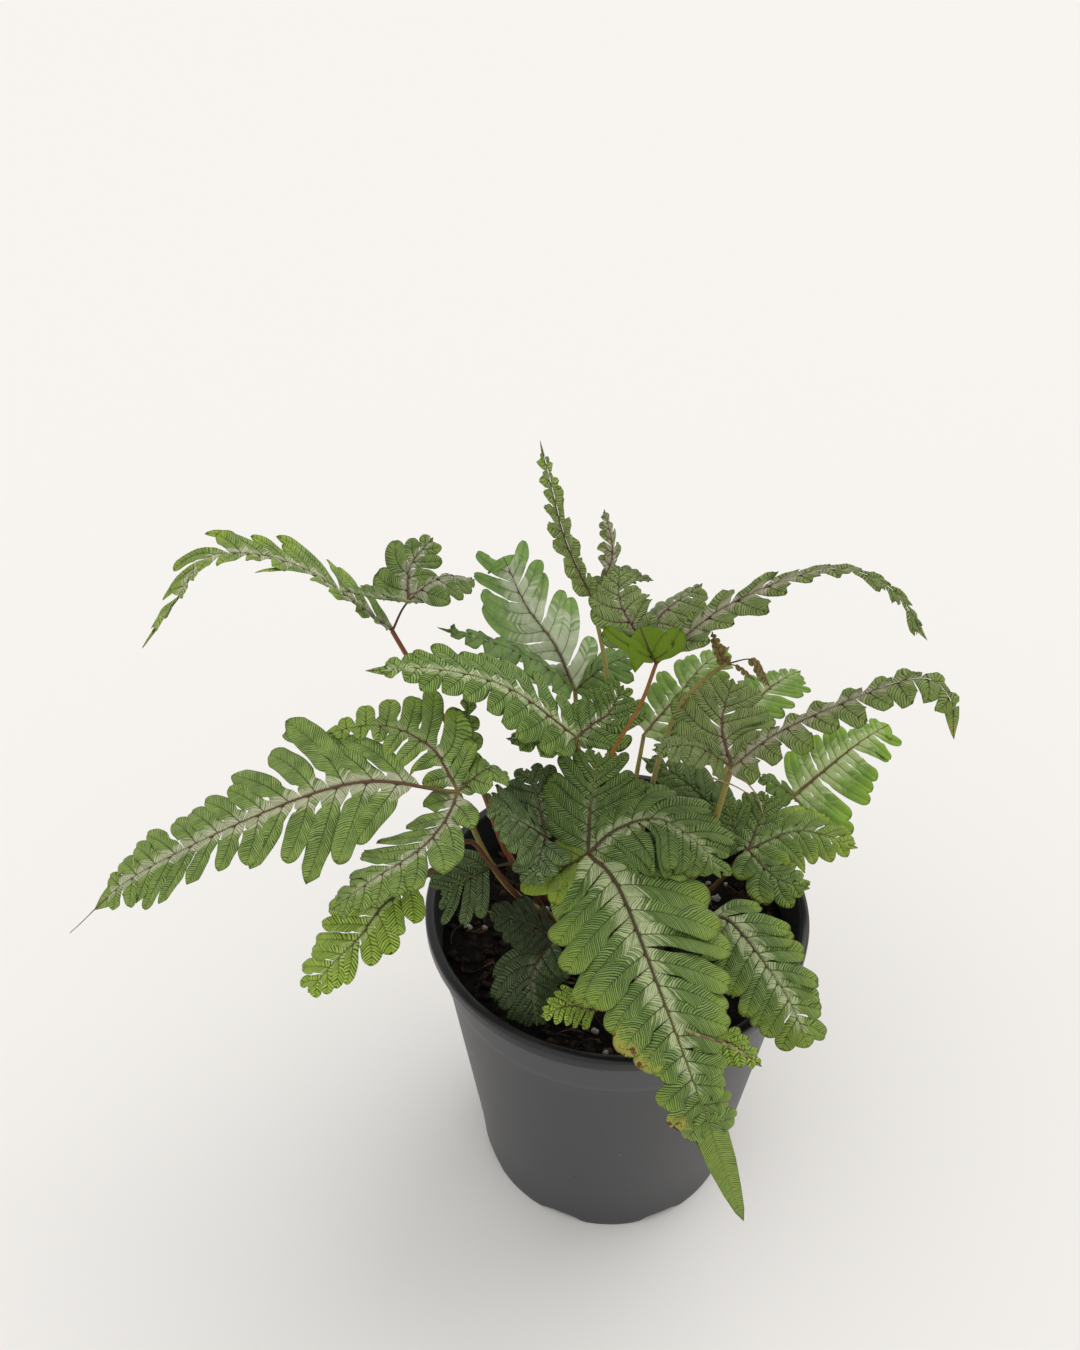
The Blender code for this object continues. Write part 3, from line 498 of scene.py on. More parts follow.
leafShape = {  # what all leaflets share, in metres, degrees and shares
    "pathSteps": 161, "runOut": 0.5, "columns": 10, "rowLength": 0.0016, "fewestRows": 8, "mostRows": 22,
    "endRows": 13, "endColumns": 9, "ribSides": 8, "thickness": 0.00028, "offset": 0.12, "fullness": 1.32,
    "sinusPlace": 0.13, "sinusReach": 0.06, "sinusDepth": 0.12, "fusedAtTip": 0.48, "tilt": 0.13,
    "arch": 0.14, "crease": 0.1, "ruffle": 0.14, "curl": 0.09, "curlSpread": 0.05, "twistSpread": 9,
    "wander": 3.5, "lengthSpread": 0.05, "crenate": 0.035, "crenateLength": 0.0022,
}


def halfWidth(along, spec):
    # Share of the full width: the leaflet's own widths, or full near the fork and drawn out at the tip,
    # min(1, 0.75 + along) * (1 - along^1.8)
    if spec["widths"]:
        at, shares = np.array(spec["widths"]).T
        return np.interp(along, at, shares)
    return np.minimum(1, 0.75 + along) * (1 - along ** 1.8)


def leafletFrame(start, spec):
    # The rib as a smooth path with an upright and a sideways direction at each place. Both ends run on
    # straight, so that a lobe that leans past the tip still has a frame.
    count = leafShape["pathSteps"]
    places, slopes, length = smoothPath(np.array([start, *spec["path"]], float) * mm, count)
    face = unit(spec["face"])
    uprights = unit(face - slopes * (slopes @ face)[:, None])
    sideways = np.cross(uprights, slopes)
    runOut = leafShape["runOut"] * length
    return {
        "length": length, "places": places, "slopes": slopes, "uprights": uprights,
        "at": np.concatenate([[-runOut], np.linspace(0, length, count), [length + runOut]]),
        "line": np.vstack([places[0] - slopes[0] * runOut, places, places[-1] + slopes[-1] * runOut]),
        "up": np.vstack([uprights[:1], uprights, uprights[-1:]]),
        "side": np.vstack([sideways[:1], sideways, sideways[-1:]])}


def readAlong(rib, which, reach):  # a rib's vectors at any lengths along it
    return np.stack([np.interp(reach, rib["at"], rib[which][:, k]) for k in range(3)], -1)


def closedSheet(top, ups, thickness, flip):
    # Each sheet of a stack (n, rows, columns) gets an underside that meets it all round its edge, so the
    # body is a thin lens: underside = top - up * thickness, and 0 at the edge. flip turns the quads over.
    count, rows, columns = top.shape[:3]
    under = (top - ups * thickness)[:, 1:-1, 1:-1]
    number = np.arange(rows * columns).reshape(rows, columns)
    lower = number.copy()
    lower[1:-1, 1:-1] = rows * columns + np.arange((rows - 2) * (columns - 2)).reshape(rows - 2, columns - 2)

    def quads(grid):
        return np.stack([grid[:-1, :-1], grid[1:, :-1], grid[1:, 1:], grid[:-1, 1:]], -1).reshape(-1, 4)

    one = np.vstack([quads(number), quads(lower)[:, ::-1]])
    size = rows * columns + (rows - 2) * (columns - 2)
    faces = one[None] + (np.arange(count) * size)[:, None, None]
    faces = np.where(np.asarray(flip)[:, None, None], faces[:, :, ::-1], faces)
    points = np.concatenate([top.reshape(count, -1, 3), under.reshape(count, -1, 3)], 1)
    return points.reshape(-1, 3), faces.reshape(-1, 4)


def bothSides(values, rows, columns):  # a sheet's numbers for its upper points, then its under points
    values = np.broadcast_to(values, (values.shape[0], rows, columns))
    return np.concatenate([values.reshape(len(values), -1),
                           values[:, 1:-1, 1:-1].reshape(len(values), -1)], 1).ravel()


def sheetValues(numbers, a, v, rows, columns):
    # A stack of sheets' attributes, each number spread over its sheet, with under 1 on the undersides
    whole = np.ones_like(a)
    values = {"reach": a, "edge": np.abs(v) * whole}
    values.update({name: each * whole for name, each in numbers.items()})
    values = {name: bothSides(each, rows, columns) for name, each in values.items()}
    below = np.concatenate([np.zeros(rows * columns), np.ones((rows - 2) * (columns - 2))])
    values["under"] = np.tile(below, len(a))
    return values


def veinMap(outward, across, rows, columns):  # where each vertex is from its lobe's foot, in mm
    return np.stack([bothSides(outward / mm, rows, columns), bothSides(across / mm, rows, columns)], 1)


def lobeSheets(rib, spec, rng):
    # A lobe leaves the rib, turns towards the tip and ends in an arc. With a from 0 at the rib to 1 at the
    # end and v from -1 to 1 across: its middle line turns evenly from one angle to another, its half width
    # is that share of the lobes' spacing that fills the side, less a notch where the lobes part, and its
    # end is the arc 1 - r + r * (1 - |v|^b)^(1/b), round for b = 2 and pointed for less. Its height has a
    # crease on the middle line, an arch on each half, a tilt that lays it over its neighbour, a ruffle at
    # the edge, a twist, and a bend down at the end.
    shape = leafShape
    count = spec["lobes"]
    order = np.arange(count + 1) / count
    steps = order * (1 + spec["closing"] * (1 - order))
    first = rib["length"] * spec["bare"]
    blade = rib["length"] * (1 - spec["tail"]) - first
    lobed = blade * (1 - spec["tip"])
    side = np.repeat([1.0, -1.0], count)
    spacing = np.tile(np.diff(steps), 2) * lobed
    centre = first + np.tile((steps[1:] + steps[:-1]) / 2, 2) * lobed + side * spacing * shape["offset"]
    along = np.clip((centre - first) / blade, 0, 1)
    uneven = spec["uneven"]
    leans = np.array(spec["leans"] or (spec["lean"], spec["lean"]), float)[np.where(side > 0, 0, 1)]
    base = np.radians(leans[:, 1] + (leans[:, 0] - leans[:, 1]) * (1 - along) ** 1.6
                      + rng.normal(0, shape["wander"], 2 * count) * uneven)
    turn = -np.radians(spec["turn"]) * (1 - 0.3 * along)
    longer, shorter = spec["sides"]
    reach = np.where(side > 0, longer, shorter) * spec["half"] * mm * halfWidth(along, spec)
    reach = reach * (1 + rng.normal(0, shape["lengthSpread"], 2 * count) * uneven)
    length = np.maximum(reach, spec["half"] * mm * 0.08) / np.sin(base + turn / 2)

    rows = int(np.clip(spec["half"] * mm / shape["rowLength"], shape["fewestRows"], shape["mostRows"])) + 1
    columns = shape["columns"] + 1
    u = np.linspace(0, 1, rows)[None, :, None]
    v = np.sin(np.linspace(-1, 1, columns) * math.pi / 2)[None, None, :]

    def perLobe(numbers):
        return np.asarray(numbers)[:, None, None]

    half = perLobe(spacing / 2)
    size = perLobe(length)
    rounding = np.clip(half / size, 0.15, 0.75)
    bulge = perLobe(2 - spec["point"] * rng.uniform(0, 1, 2 * count))
    a = u * (1 - rounding + rounding * np.clip(1 - np.abs(v) ** bulge, 0, 1) ** (1 / bulge))
    angle = perLobe(base) + perLobe(turn) * a
    ahead = size * (np.sin(angle) - np.sin(perLobe(base))) / perLobe(turn)
    out = size * (np.cos(perLobe(base)) - np.cos(angle)) / perLobe(turn)
    joint = spec["fused"]  # how far out the lobes are one sheet, farther towards the tip
    fused = perLobe(joint + (shape["fusedAtTip"] - joint) * along ** 2)
    free = ease(a, fused, fused + 0.3)
    fullness = (shape["fullness"] - spec["open"]) * (1 + 0.15 * np.sin(a * 2.2))
    pastJoint = (a - fused - shape["sinusPlace"]) / shape["sinusReach"]
    notch = (shape["sinusDepth"] + spec["notch"]) * np.exp(-pastJoint ** 2)
    waves = a * perLobe(length / shape["crenateLength"])
    wave = shape["crenate"] * np.sin(waves + perLobe(rng.uniform(0, 6.3, 2 * count)))
    width = half * ((1 - free) + free * np.sin(angle) * (fullness - notch * (1 - free * 0.3) + wave))
    ahead = ahead + v * width * ((1 - free) + free * np.sin(angle))
    out = np.maximum(out - v * width * free * np.cos(angle), 0)

    twist = perLobe(rng.normal(0, shape["twistSpread"], 2 * count) * spec["twist"])
    bend = perLobe(shape["curl"] * spec["curl"] + rng.normal(0, shape["curlSpread"], 2 * count))
    phase = perLobe(rng.uniform(0, 6.3, 2 * count))
    height = width * (
        shape["arch"] * (1 - (2 * np.abs(v) - 1) ** 2) * ease(a, 0, 0.25)
        + shape["crease"] * np.minimum(np.abs(v) * 6, 1)
        + shape["tilt"] * v * free
        + v * np.tan(np.radians(twist)) * a ** 2
        + shape["ruffle"] * np.abs(v) ** 3 * np.sin(a * 9 + phase + v) * ease(a, 0.1, 0.5)
    ) - bend * size * a ** 2

    near, far = spec["droops"] or (spec["droop"], spec["droop"])
    droop = perLobe(np.radians(np.where(side > 0, near, far)))[..., None]
    s = perLobe(centre) + ahead
    line, up, beside = (readAlong(rib, which, s) for which in ("line", "up", "side"))
    sign = perLobe(side)[..., None]
    sideDown = beside * sign * np.cos(droop) - up * np.sin(droop)
    upTurned = up * np.cos(droop) + beside * sign * np.sin(droop)
    top = line + out[..., None] * sideDown + height[..., None] * upTurned
    points, quads = closedSheet(top, upTurned, shape["thickness"], side > 0)

    dry = np.isin(np.tile(np.arange(count), 2), list(spec["dry"])) & (side < 0)
    faded = np.clip(1 - (along / spec["fade"]) ** 1.5, 0, 1)
    values = sheetValues({
        "along": perLobe(along), "lobeRandom": perLobe(rng.uniform(0, 1, 2 * count)),
        "band": perLobe(spec["band"] * faded * (0.85 + 0.3 * rng.random(2 * count))),
        "shade": spec["shade"], "fresh": spec["fresh"], "dry": perLobe(dry * 1.0)}, a, v, rows, columns)
    return points, quads, values, veinMap(a * size, v * width, rows, columns)


def endSheet(rib, spec):
    # The unlobed end of a leaflet: its rim is the arc 0.12 + 0.88 * (1 - |v|^round)^0.9 along the rib, and
    # its sides hang from the rib as the lobes do, a little wavy at the edge.
    share = spec["tip"]
    last = rib["length"] * (1 - spec["tail"])
    blade = last - rib["length"] * spec["bare"]
    start = last - blade * share * 1.15
    size = last - start
    wide = spec["half"] * mm * halfWidth(1 - share, spec) * 0.9
    rows, columns = leafShape["endRows"], leafShape["endColumns"]
    u = np.linspace(0, 1, rows)[None, :, None]
    v = np.linspace(-1, 1, columns)[None, None, :]
    a = u * (0.12 + 0.88 * (1 - np.abs(v) ** spec["round"]) ** 0.9)
    width = wide * np.minimum(1, 0.8 + 0.2 * a) * np.ones_like(a)
    droop = math.radians(spec["droop"])
    line, up, beside = (readAlong(rib, which, start + a * size) for which in ("line", "up", "side"))
    across = v * width
    wave = 0.08 * width * np.abs(v) ** 2 * np.sin(a * 14 + v * 2)
    top = line + across[..., None] * beside * math.cos(droop) + (
        wave - np.abs(across) * math.sin(droop))[..., None] * up
    points, quads = closedSheet(top, up, leafShape["thickness"], np.array([True]))
    values = sheetValues({
        "reach": 0.45 + 0.5 * a, "along": 0.9, "lobeRandom": 0.5, "band": 0, "shade": spec["shade"],
        "fresh": spec["fresh"], "dry": spec["burnt"]}, a, v, rows, columns)
    return points, quads, values, veinMap(a * size, across, rows, columns)


def ribTube(rib, spec, radius):
    # The rib, drawn out towards the tip: radius * (1 - 0.78 * along^0.8), thinner on a dried tail, and a
    # little proud of the blade
    along = np.linspace(0, 1, leafShape["pathSteps"])[::3]
    tail = along > 1 - spec["tail"]
    radii = radius * (1 - 0.78 * along ** 0.8) * np.where(tail, 0.8, 1.0)
    places = rib["places"][::3] + rib["uprights"][::3] * radii[:, None] * 0.25
    line = tube(places, rib["slopes"][::3], rib["uprights"][::3], radii, leafShape["ribSides"])
    return (*line, along + tail)


leafKinds = {  # colourings: linear colours, the distance between veins in mm, how strongly they are lined,
    # how streaked the blade is between them, and how soft silver's edge is in mm
    "striped": {"Green": (0.082, 0.152, 0.024), "Deep": (0.045, 0.09, 0.014),
        "Streak": (0.255, 0.365, 0.1), "Silver": (0.5, 0.56, 0.3), "Line": (0.014, 0.03, 0.008),
        "Fresh": (0.245, 0.335, 0.02), "Under": (0.17, 0.24, 0.09), "Rib": (0.05, 0.04, 0.014),
        "Vein Spacing": 2, "Lining": 0.9, "Streaking": 1, "Band Softness": 2},
    "green": {"Green": (0.18, 0.29, 0.042), "Deep": (0.07, 0.14, 0.014), "Streak": (0.37, 0.45, 0.18),
        "Silver": (0.56, 0.55, 0.38), "Line": (0.03, 0.06, 0.01), "Fresh": (0.27, 0.4, 0.018),
        "Under": (0.17, 0.24, 0.09), "Rib": (0.045, 0.042, 0.014), "Vein Spacing": 1.9, "Lining": 0.85,
        "Streaking": 0.75, "Band Softness": 1.4},
    "bright": {"Green": (0.2, 0.33, 0.016), "Deep": (0.12, 0.23, 0.012), "Streak": (0.5, 0.6, 0.14),
        "Silver": (0.44, 0.54, 0.18), "Line": (0.02, 0.055, 0.004), "Fresh": (0.26, 0.4, 0.014),
        "Under": (0.2, 0.3, 0.09), "Rib": (0.09, 0.1, 0.02), "Vein Spacing": 2.4, "Lining": 1,
        "Streaking": 1, "Band Softness": 0.8},
    "silver": {"Green": (0.2, 0.33, 0.08), "Deep": (0.11, 0.2, 0.045), "Streak": (0.17, 0.25, 0.09),
        "Silver": (0.5, 0.54, 0.38), "Line": (0.11, 0.18, 0.05), "Fresh": (0.17, 0.31, 0.035),
        "Under": (0.22, 0.29, 0.14), "Rib": (0.14, 0.12, 0.07), "Vein Spacing": 2.6, "Lining": 0.12,
        "Streaking": 0.2, "Band Softness": 6},
    "olive": {"Green": (0.165, 0.235, 0.048), "Deep": (0.09, 0.135, 0.024), "Streak": (0.31, 0.37, 0.16),
        "Silver": (0.42, 0.38, 0.27), "Line": (0.028, 0.018, 0.014), "Fresh": (0.15, 0.25, 0.008),
        "Under": (0.14, 0.17, 0.08), "Rib": (0.06, 0.02, 0.022), "Vein Spacing": 2, "Lining": 0.8,
        "Streaking": 0.8, "Band Softness": 1},
    "grey": {"Green": (0.066, 0.115, 0.03), "Deep": (0.035, 0.062, 0.016), "Streak": (0.25, 0.32, 0.14),
        "Silver": (0.3, 0.36, 0.21), "Line": (0.01, 0.02, 0.008), "Fresh": (0.11, 0.2, 0.025),
        "Under": (0.1, 0.14, 0.07), "Rib": (0.03, 0.018, 0.012), "Vein Spacing": 2.1, "Lining": 0.8,
        "Streaking": 0.85, "Band Softness": 0.5},
    "smooth": {"Green": (0.18, 0.31, 0.04), "Deep": (0.11, 0.215, 0.03), "Streak": (0.19, 0.3, 0.07),
        "Silver": (0.4, 0.47, 0.22), "Line": (0.12, 0.21, 0.035), "Fresh": (0.24, 0.39, 0.03),
        "Under": (0.18, 0.28, 0.08), "Rib": (0.14, 0.15, 0.05), "Vein Spacing": 2.6, "Lining": 0.12,
        "Streaking": 0.2, "Band Softness": 4},
    "russet": {"Green": (0.25, 0.2, 0.05), "Deep": (0.15, 0.1, 0.025), "Streak": (0.14, 0.12, 0.04),
        "Silver": (0.2, 0.15, 0.1), "Line": (0.03, 0.014, 0.008), "Fresh": (0.1, 0.12, 0.02),
        "Under": (0.1, 0.06, 0.03), "Rib": (0.05, 0.02, 0.01), "Vein Spacing": 1.6, "Lining": 0.6,
        "Streaking": 0.3, "Band Softness": 0.3},
}


veinShape = {  # in mm; scales are the noises', per metre
    "slant": 0.75, "bow": 0.03, "wobble": 1.6, "wobbleScale": 260, "sway": 3.2, "swayScale": 90,
    "forkFrom": 0.6, "forkTo": 2.2, "fraying": 4.0, "frayingScale": 420, "ribFrom": 0.36, "ribTo": 0.1,
    "mottleScale": 170, "scorchScale": 340, "grainScale": 1400, "swellScale": 330,
    "yellowed": (0.36, 0.34, 0.06), "scorched": (0.12, 0.045, 0.015),
}


def makeVeinGroup():
    # Veins leave the lobe's middle line slanting outwards, so their number is
    # (outward - off * (slant + bow * off) + wobble + sway) / spacing, and each forks a little way out.
    # Colours change from vein to vein, and silver reaches out to the band's width, farther on some veins
    # than on others.
    shape = veinShape
    tree, build, source, sink = shaderGroup(
        "leafVeins", leafKinds["striped"], {"Color": "Color", "Height": "Float", "Roughness": "Float"})
    times, plus, minus, step = build.times, build.plus, build.minus, build.step
    place = build.objectPlace()
    axes = build.node("ShaderNodeSeparateXYZ", {0: build.node("ShaderNodeUVMap", uv_map="veins").outputs[0]})
    outward, across = axes.outputs[0], axes.outputs[1]
    off = build.math("ABSOLUTE", across)
    lobe = build.attribute("lobeRandom")
    reach = build.attribute("reach")
    band = build.attribute("band")
    wobble = plus(times(build.noise(place, shape["wobbleScale"], 2), shape["wobble"]),
                  times(build.noise(place, shape["swayScale"], 2), shape["sway"]))
    slant = times(off, plus(times(off, shape["bow"]), shape["slant"]))
    wavy = plus(minus(outward, slant), wobble)
    count = plus(build.math("DIVIDE", wavy, source["Vein Spacing"]), times(lobe, 7))

    def nearLine(number):  # 1 on a line, 0 half way to the next
        return times(build.math("ABSOLUTE", minus(build.math("FRACT", number), 0.5)), 2)

    double = times(count, 2)
    forked = step(off, shape["forkFrom"], shape["forkTo"])
    cell = build.node("ShaderNodeCombineXYZ", {
        0: build.math("FLOOR", double), 1: times(lobe, 91), 2: build.math("SIGN", across)}).outputs[0]
    chance = build.node("ShaderNodeTexWhiteNoise", {"Vector": cell}, noise_dimensions="3D").outputs["Value"]

    # How much of each colour a point has: dark line, pale streak, silver, young green
    line = build.math("MAXIMUM", step(nearLine(count), 0.66, 0.98),
                      times(step(nearLine(double), 0.5, 1.0), forked))
    freshness = build.attribute("fresh")
    plain = minus(1.0, minus(freshness, 1.0, clamp=True), clamp=True)
    line = times(times(times(line, plain), source["Lining"]),
                 step(build.noise(place, shape["frayingScale"], 3), 0.3, 0.6, 0.35, 1.0))
    streak = times(step(nearLine(double), 0.8, 0.1),
                   times(source["Streaking"], plus(times(chance, 0.7), 0.3)))
    streak = times(streak, plain)
    limit = times(band, plus(times(chance, 0.9), 0.5))
    soft = source["Band Softness"]
    fraying = times(minus(build.noise(place, shape["frayingScale"], 3), 0.5), shape["fraying"])
    feather = minus(times(off, 0.3), fraying)
    silver = times(step(minus(plus(limit, feather), outward), times(soft, -1.0), soft), step(band, 0.3, 1.2))
    young = build.math("MAXIMUM", step(reach, 0.5, 1.0), step(build.attribute("along"), 0.5, 1.0))
    young = times(times(young, freshness), 0.85)
    young = plus(young, build.math("MAXIMUM", minus(freshness, 1.0), 0.0), clamp=True)

    mottle = step(build.noise(place, shape["mottleScale"], 5, 0.65), 0.36, 0.66)
    colour = build.mix(mottle, source["Green"], source["Deep"])
    colour = build.mix(young, colour, source["Fresh"])
    colour = build.mix(streak, colour, source["Streak"])
    colour = build.mix(times(silver, plus(times(chance, 0.35), 0.55)), colour, source["Silver"])
    colour = build.mix(times(line, minus(0.95, times(silver, 0.1))), colour, source["Line"])
    middle = times(step(off, shape["ribFrom"], shape["ribTo"]), minus(0.9, times(reach, 0.75)))
    colour = build.mix(middle, colour, source["Rib"])
    rim = times(step(build.attribute("edge"), 0.94, 1.0), 0.35)
    colour = build.mix(rim, colour, source["Deep"])
    # Painted shade: the colour times 1 - 0.75 * the leaflet's number, darker where it lies in shadow, lighter
    # (painted light) below 0
    shade = minus(1.0, times(build.attribute("shade"), 0.75))
    shadeColour = build.node("ShaderNodeCombineColor", {0: shade, 1: shade, 2: shade}).outputs[0]
    colour = build.mix(1.0, colour, shadeColour, "MULTIPLY")
    colour = build.mix(times(build.attribute("under"), 0.7), colour, source["Under"])

    # Scorched ends: yellowed first, brown at the very end
    patch = plus(reach, times(minus(build.noise(place, shape["scorchScale"], 4, 0.65), 0.5), 1.5))
    dry = build.attribute("dry")
    colour = build.mix(times(dry, step(patch, 0.6, 0.95, 0.0, 0.85)), colour, shape["yellowed"])
    colour = build.mix(times(dry, step(patch, 0.9, 1.02)), colour, shape["scorched"])

    # The blade swells between the lines, with a fine grain, broad unevenness and a groove on the rib
    fine = build.noise(place, shape["grainScale"], 2)
    height = plus(times(minus(1.0, line), 0.6), times(fine, 0.25))
    height = plus(height, times(build.noise(place, shape["swellScale"], 3), 2.2))
    height = minus(height, step(off, 0.5, 0.1))
    rough = plus(times(fine, 0.16), times(silver, 0.06))
    build.feed(sink["Color"], colour)
    build.feed(sink["Height"], height)
    build.feed(sink["Roughness"], plus(rough, 0.45))
    return tree


def makeLeafMaterials():
    group = makeVeinGroup()
    made = {}
    for kind, values in leafKinds.items():
        material, build, shader = newMaterial(kind + "Leaf", {"Specular IOR Level": 0.22})
        pattern = useGroup(build, group, values)
        build.feed(shader.inputs["Base Color"], pattern["Color"])
        build.feed(shader.inputs["Roughness"], pattern["Roughness"])
        build.feed(shader.inputs["Normal"], build.bump(pattern["Height"], 0.55, 0.00025))
        made[kind] = material
    return made


stemKinds = {  # colours from the crown up the stalk, then along the ribs to their tips
    "brown": {"Root": (0.03, 0.014, 0.008), "Stalk": (0.11, 0.045, 0.018), "Rib": (0.062, 0.042, 0.015),
              "Rib End": (0.2, 0.25, 0.04)},
    "olive": {"Root": (0.05, 0.03, 0.012), "Stalk": (0.26, 0.22, 0.06), "Rib": (0.11, 0.052, 0.024),
              "Rib End": (0.12, 0.07, 0.032)},
    "red": {"Root": (0.05, 0.016, 0.008), "Stalk": (0.26, 0.085, 0.035), "Rib": (0.1, 0.045, 0.02),
            "Rib End": (0.07, 0.05, 0.025)},
    "orange": {"Root": (0.06, 0.025, 0.01), "Stalk": (0.28, 0.125, 0.032), "Rib": (0.075, 0.022, 0.024),
               "Rib End": (0.08, 0.06, 0.03)},
}


def makeStemMaterials():
    # along is 0 at the crown, 1 at the fork and 2 at a rib's tip, and up to 3 on a dried tail
    tree, build, source, sink = shaderGroup(
        "stemTone", stemKinds["brown"], {"Color": "Color", "Height": "Float"})
    along = build.attribute("along")
    place = build.objectPlace()
    colour = build.mix(build.step(along, 0.0, 0.35), source["Root"], source["Stalk"])
    colour = build.mix(build.step(along, 0.9, 1.12), colour, source["Rib"])
    colour = build.mix(build.step(along, 1.25, 2.0), colour, source["Rib End"])
    colour = build.mix(build.step(along, 2.0, 2.6), colour, (0.07, 0.035, 0.018))
    spots = build.noise(place, 900, 3)
    spotted = build.times(build.step(spots, 0.52, 0.72, 0.0, 0.5), build.step(along, 1.6, 1.2))
    colour = build.mix(spotted, colour, source["Root"])
    build.feed(sink["Color"], colour)
    build.feed(sink["Height"], spots)
    made = {}
    for kind, values in stemKinds.items():
        material, inner, shader = newMaterial(kind + "Stem", {"Roughness": 0.45, "Specular IOR Level": 0.25})
        tone = useGroup(inner, tree, values)
        inner.feed(shader.inputs["Base Color"], tone["Color"])
        inner.feed(shader.inputs["Normal"], inner.bump(tone["Height"], 0.3, 0.0001))
        made[kind] = material
    return made


crownShape = {  # in metres: the dome the stalks stand in, and the scales on it
    "radius": 0.023, "height": 0.009, "base": 0.1273, "underside": 0.0012, "rows": 22, "columns": 72,
    "scales": 260, "scaleReach": 0.021, "scaleLength": (0.0015, 0.004), "scaleRadius": 0.00016,
    "scaleSteps": 5, "scaleSides": 4, "seed": 5,
}


def crownHeight(radius):  # base + height * sqrt(1 - (radius / rim)^2)
    share = np.clip(1 - (radius / crownShape["radius"]) ** 2, 0, 1)
    return crownShape["base"] + crownShape["height"] * np.sqrt(share)


stalkShape = {"steps": 49, "sides": 12, "sunk": 2}  # sunk is how deep the foot is in the crown, in mm


def stalkTube(frond):
    # A round stalk along a smooth path from inside the crown to the fork, thicker at its foot:
    # radius * (1.2 - 0.45 * along + 0.5 * exp(-14 * along))
    root = np.array(frond["root"], float)
    foot = [*root, crownHeight(np.linalg.norm(root) * mm) / mm - stalkShape["sunk"]]
    path = np.array([foot, *frond["stalk"], frond["fork"]], float) * mm
    places, slopes, _ = smoothPath(path, stalkShape["steps"])
    along = np.linspace(0, 1, stalkShape["steps"])
    radii = frond["radius"] * mm * (1.2 - 0.45 * along + 0.5 * np.exp(-along * 14))
    uprights = np.cross(slopes, np.cross([0.3, 1.0, 0.1], slopes))
    return (*tube(places, slopes, uprights, radii, stalkShape["sides"]), along)


def perRing(along, sides):  # a tube's numbers for all its points, then its two middles
    return np.concatenate([np.repeat(along, sides), [0, 1]])


def addFrond(name, frond, leafMaterials, stemMaterials, rng):
    shapes = [stalkTube(frond)]
    amounts = [perRing(shapes[0][3], stalkShape["sides"])]
    sheets = []
    for spec in frond["leaflets"]:
        rib = leafletFrame(spec["start"] or frond["fork"], spec)
        line = ribTube(rib, spec, min(0.75, 0.3 + 0.016 * spec["half"]) * mm)
        shapes.append(line)
        amounts.append(1 + perRing(line[3], leafShape["ribSides"]))
        sheets += [lobeSheets(rib, spec, rng), endSheet(rib, spec)]
    mesh = buildMesh(name + "Stalk", *joined([shape[:3] for shape in shapes]))
    setAttributes(mesh, {"along": np.concatenate(amounts)})
    addPiece(name + "Stalk", mesh, stemMaterials[frond["stem"]], [name + "_stalk"])

    points, quads, _ = joined([(sheet[0], sheet[1], noTriangles) for sheet in sheets])
    mesh = buildMesh(name + "Blade", points, quads)
    setAttributes(mesh, {key: np.concatenate([sheet[2][key] for sheet in sheets]) for key in sheets[0][2]})
    setMap(mesh, "veins", np.vstack([sheet[3] for sheet in sheets]))
    kind = frond["kind"]
    addPiece(name + "Blade", mesh, leafMaterials[kind], [name + "_blade"])
    return len(quads)


def addFronds():
    leafMaterials = makeLeafMaterials()
    stemMaterials = makeStemMaterials()
    total = 0
    for number, (name, frond) in enumerate(fernFronds.items()):
        total += addFrond(name, frond, leafMaterials, stemMaterials, np.random.default_rng(40 + number))
    print("fronds:", len(fernFronds), "with", total, "leaf faces")


potShape = {  # millimetres, as the CAD's pot
    "height": 143, "rimRadius": 75, "baseRadius": 55, "wall": 1.4, "rimHeight": 6, "overhang": 3,
    "collar": 19, "floor": 5, "underside": 3.6, "centreFoot": 9, "notches": 8, "notchRadius": 15,
    "notchHeight": 3.4, "drainRadius": 4, "drainRing": 39.6, "drainSides": 24, "steps": 192,
}
potLook = {  # linear colours, and the heights in metres between which the collar's and the rim's begin
    # inside is painted shade: the near black that the pot's inner face is painted with
    "wall": ((0.037, 0.0375, 0.040), (0.044, 0.0445, 0.047)), "inside": (0.005, 0.005, 0.006),
    "collar": (0.048, 0.0485, 0.052), "collarFrom": 0.1172, "collarTo": 0.1180,
    "rim": (0.006, 0.006, 0.007), "rimFrom": 0.1362, "rimTo": 0.1372,
    "pits": (0.012, 0.012, 0.014), "specks": (0.4, 0.4, 0.38), "speckScale": 130.0,
    "coreSlope": 0.12409, "coreRadius": 0.0539,  # a radius between the wall's two faces, at any height
}


def arcPoints(centre, radius, first, last, count):  # centre + radius * (cos, sin), angles in degrees
    angle = np.radians(np.linspace(first, last, count))
    return np.stack([centre[0] + radius * np.cos(angle), centre[1] + radius * np.sin(angle)], 1)


def wallRadius(height):  # the outer wall's radius, in mm, straight from the base to under the rim
    shape = potShape
    top = shape["rimRadius"] - shape["overhang"]
    return shape["baseRadius"] + (top - shape["baseRadius"]) * height / (shape["height"] - shape["rimHeight"])


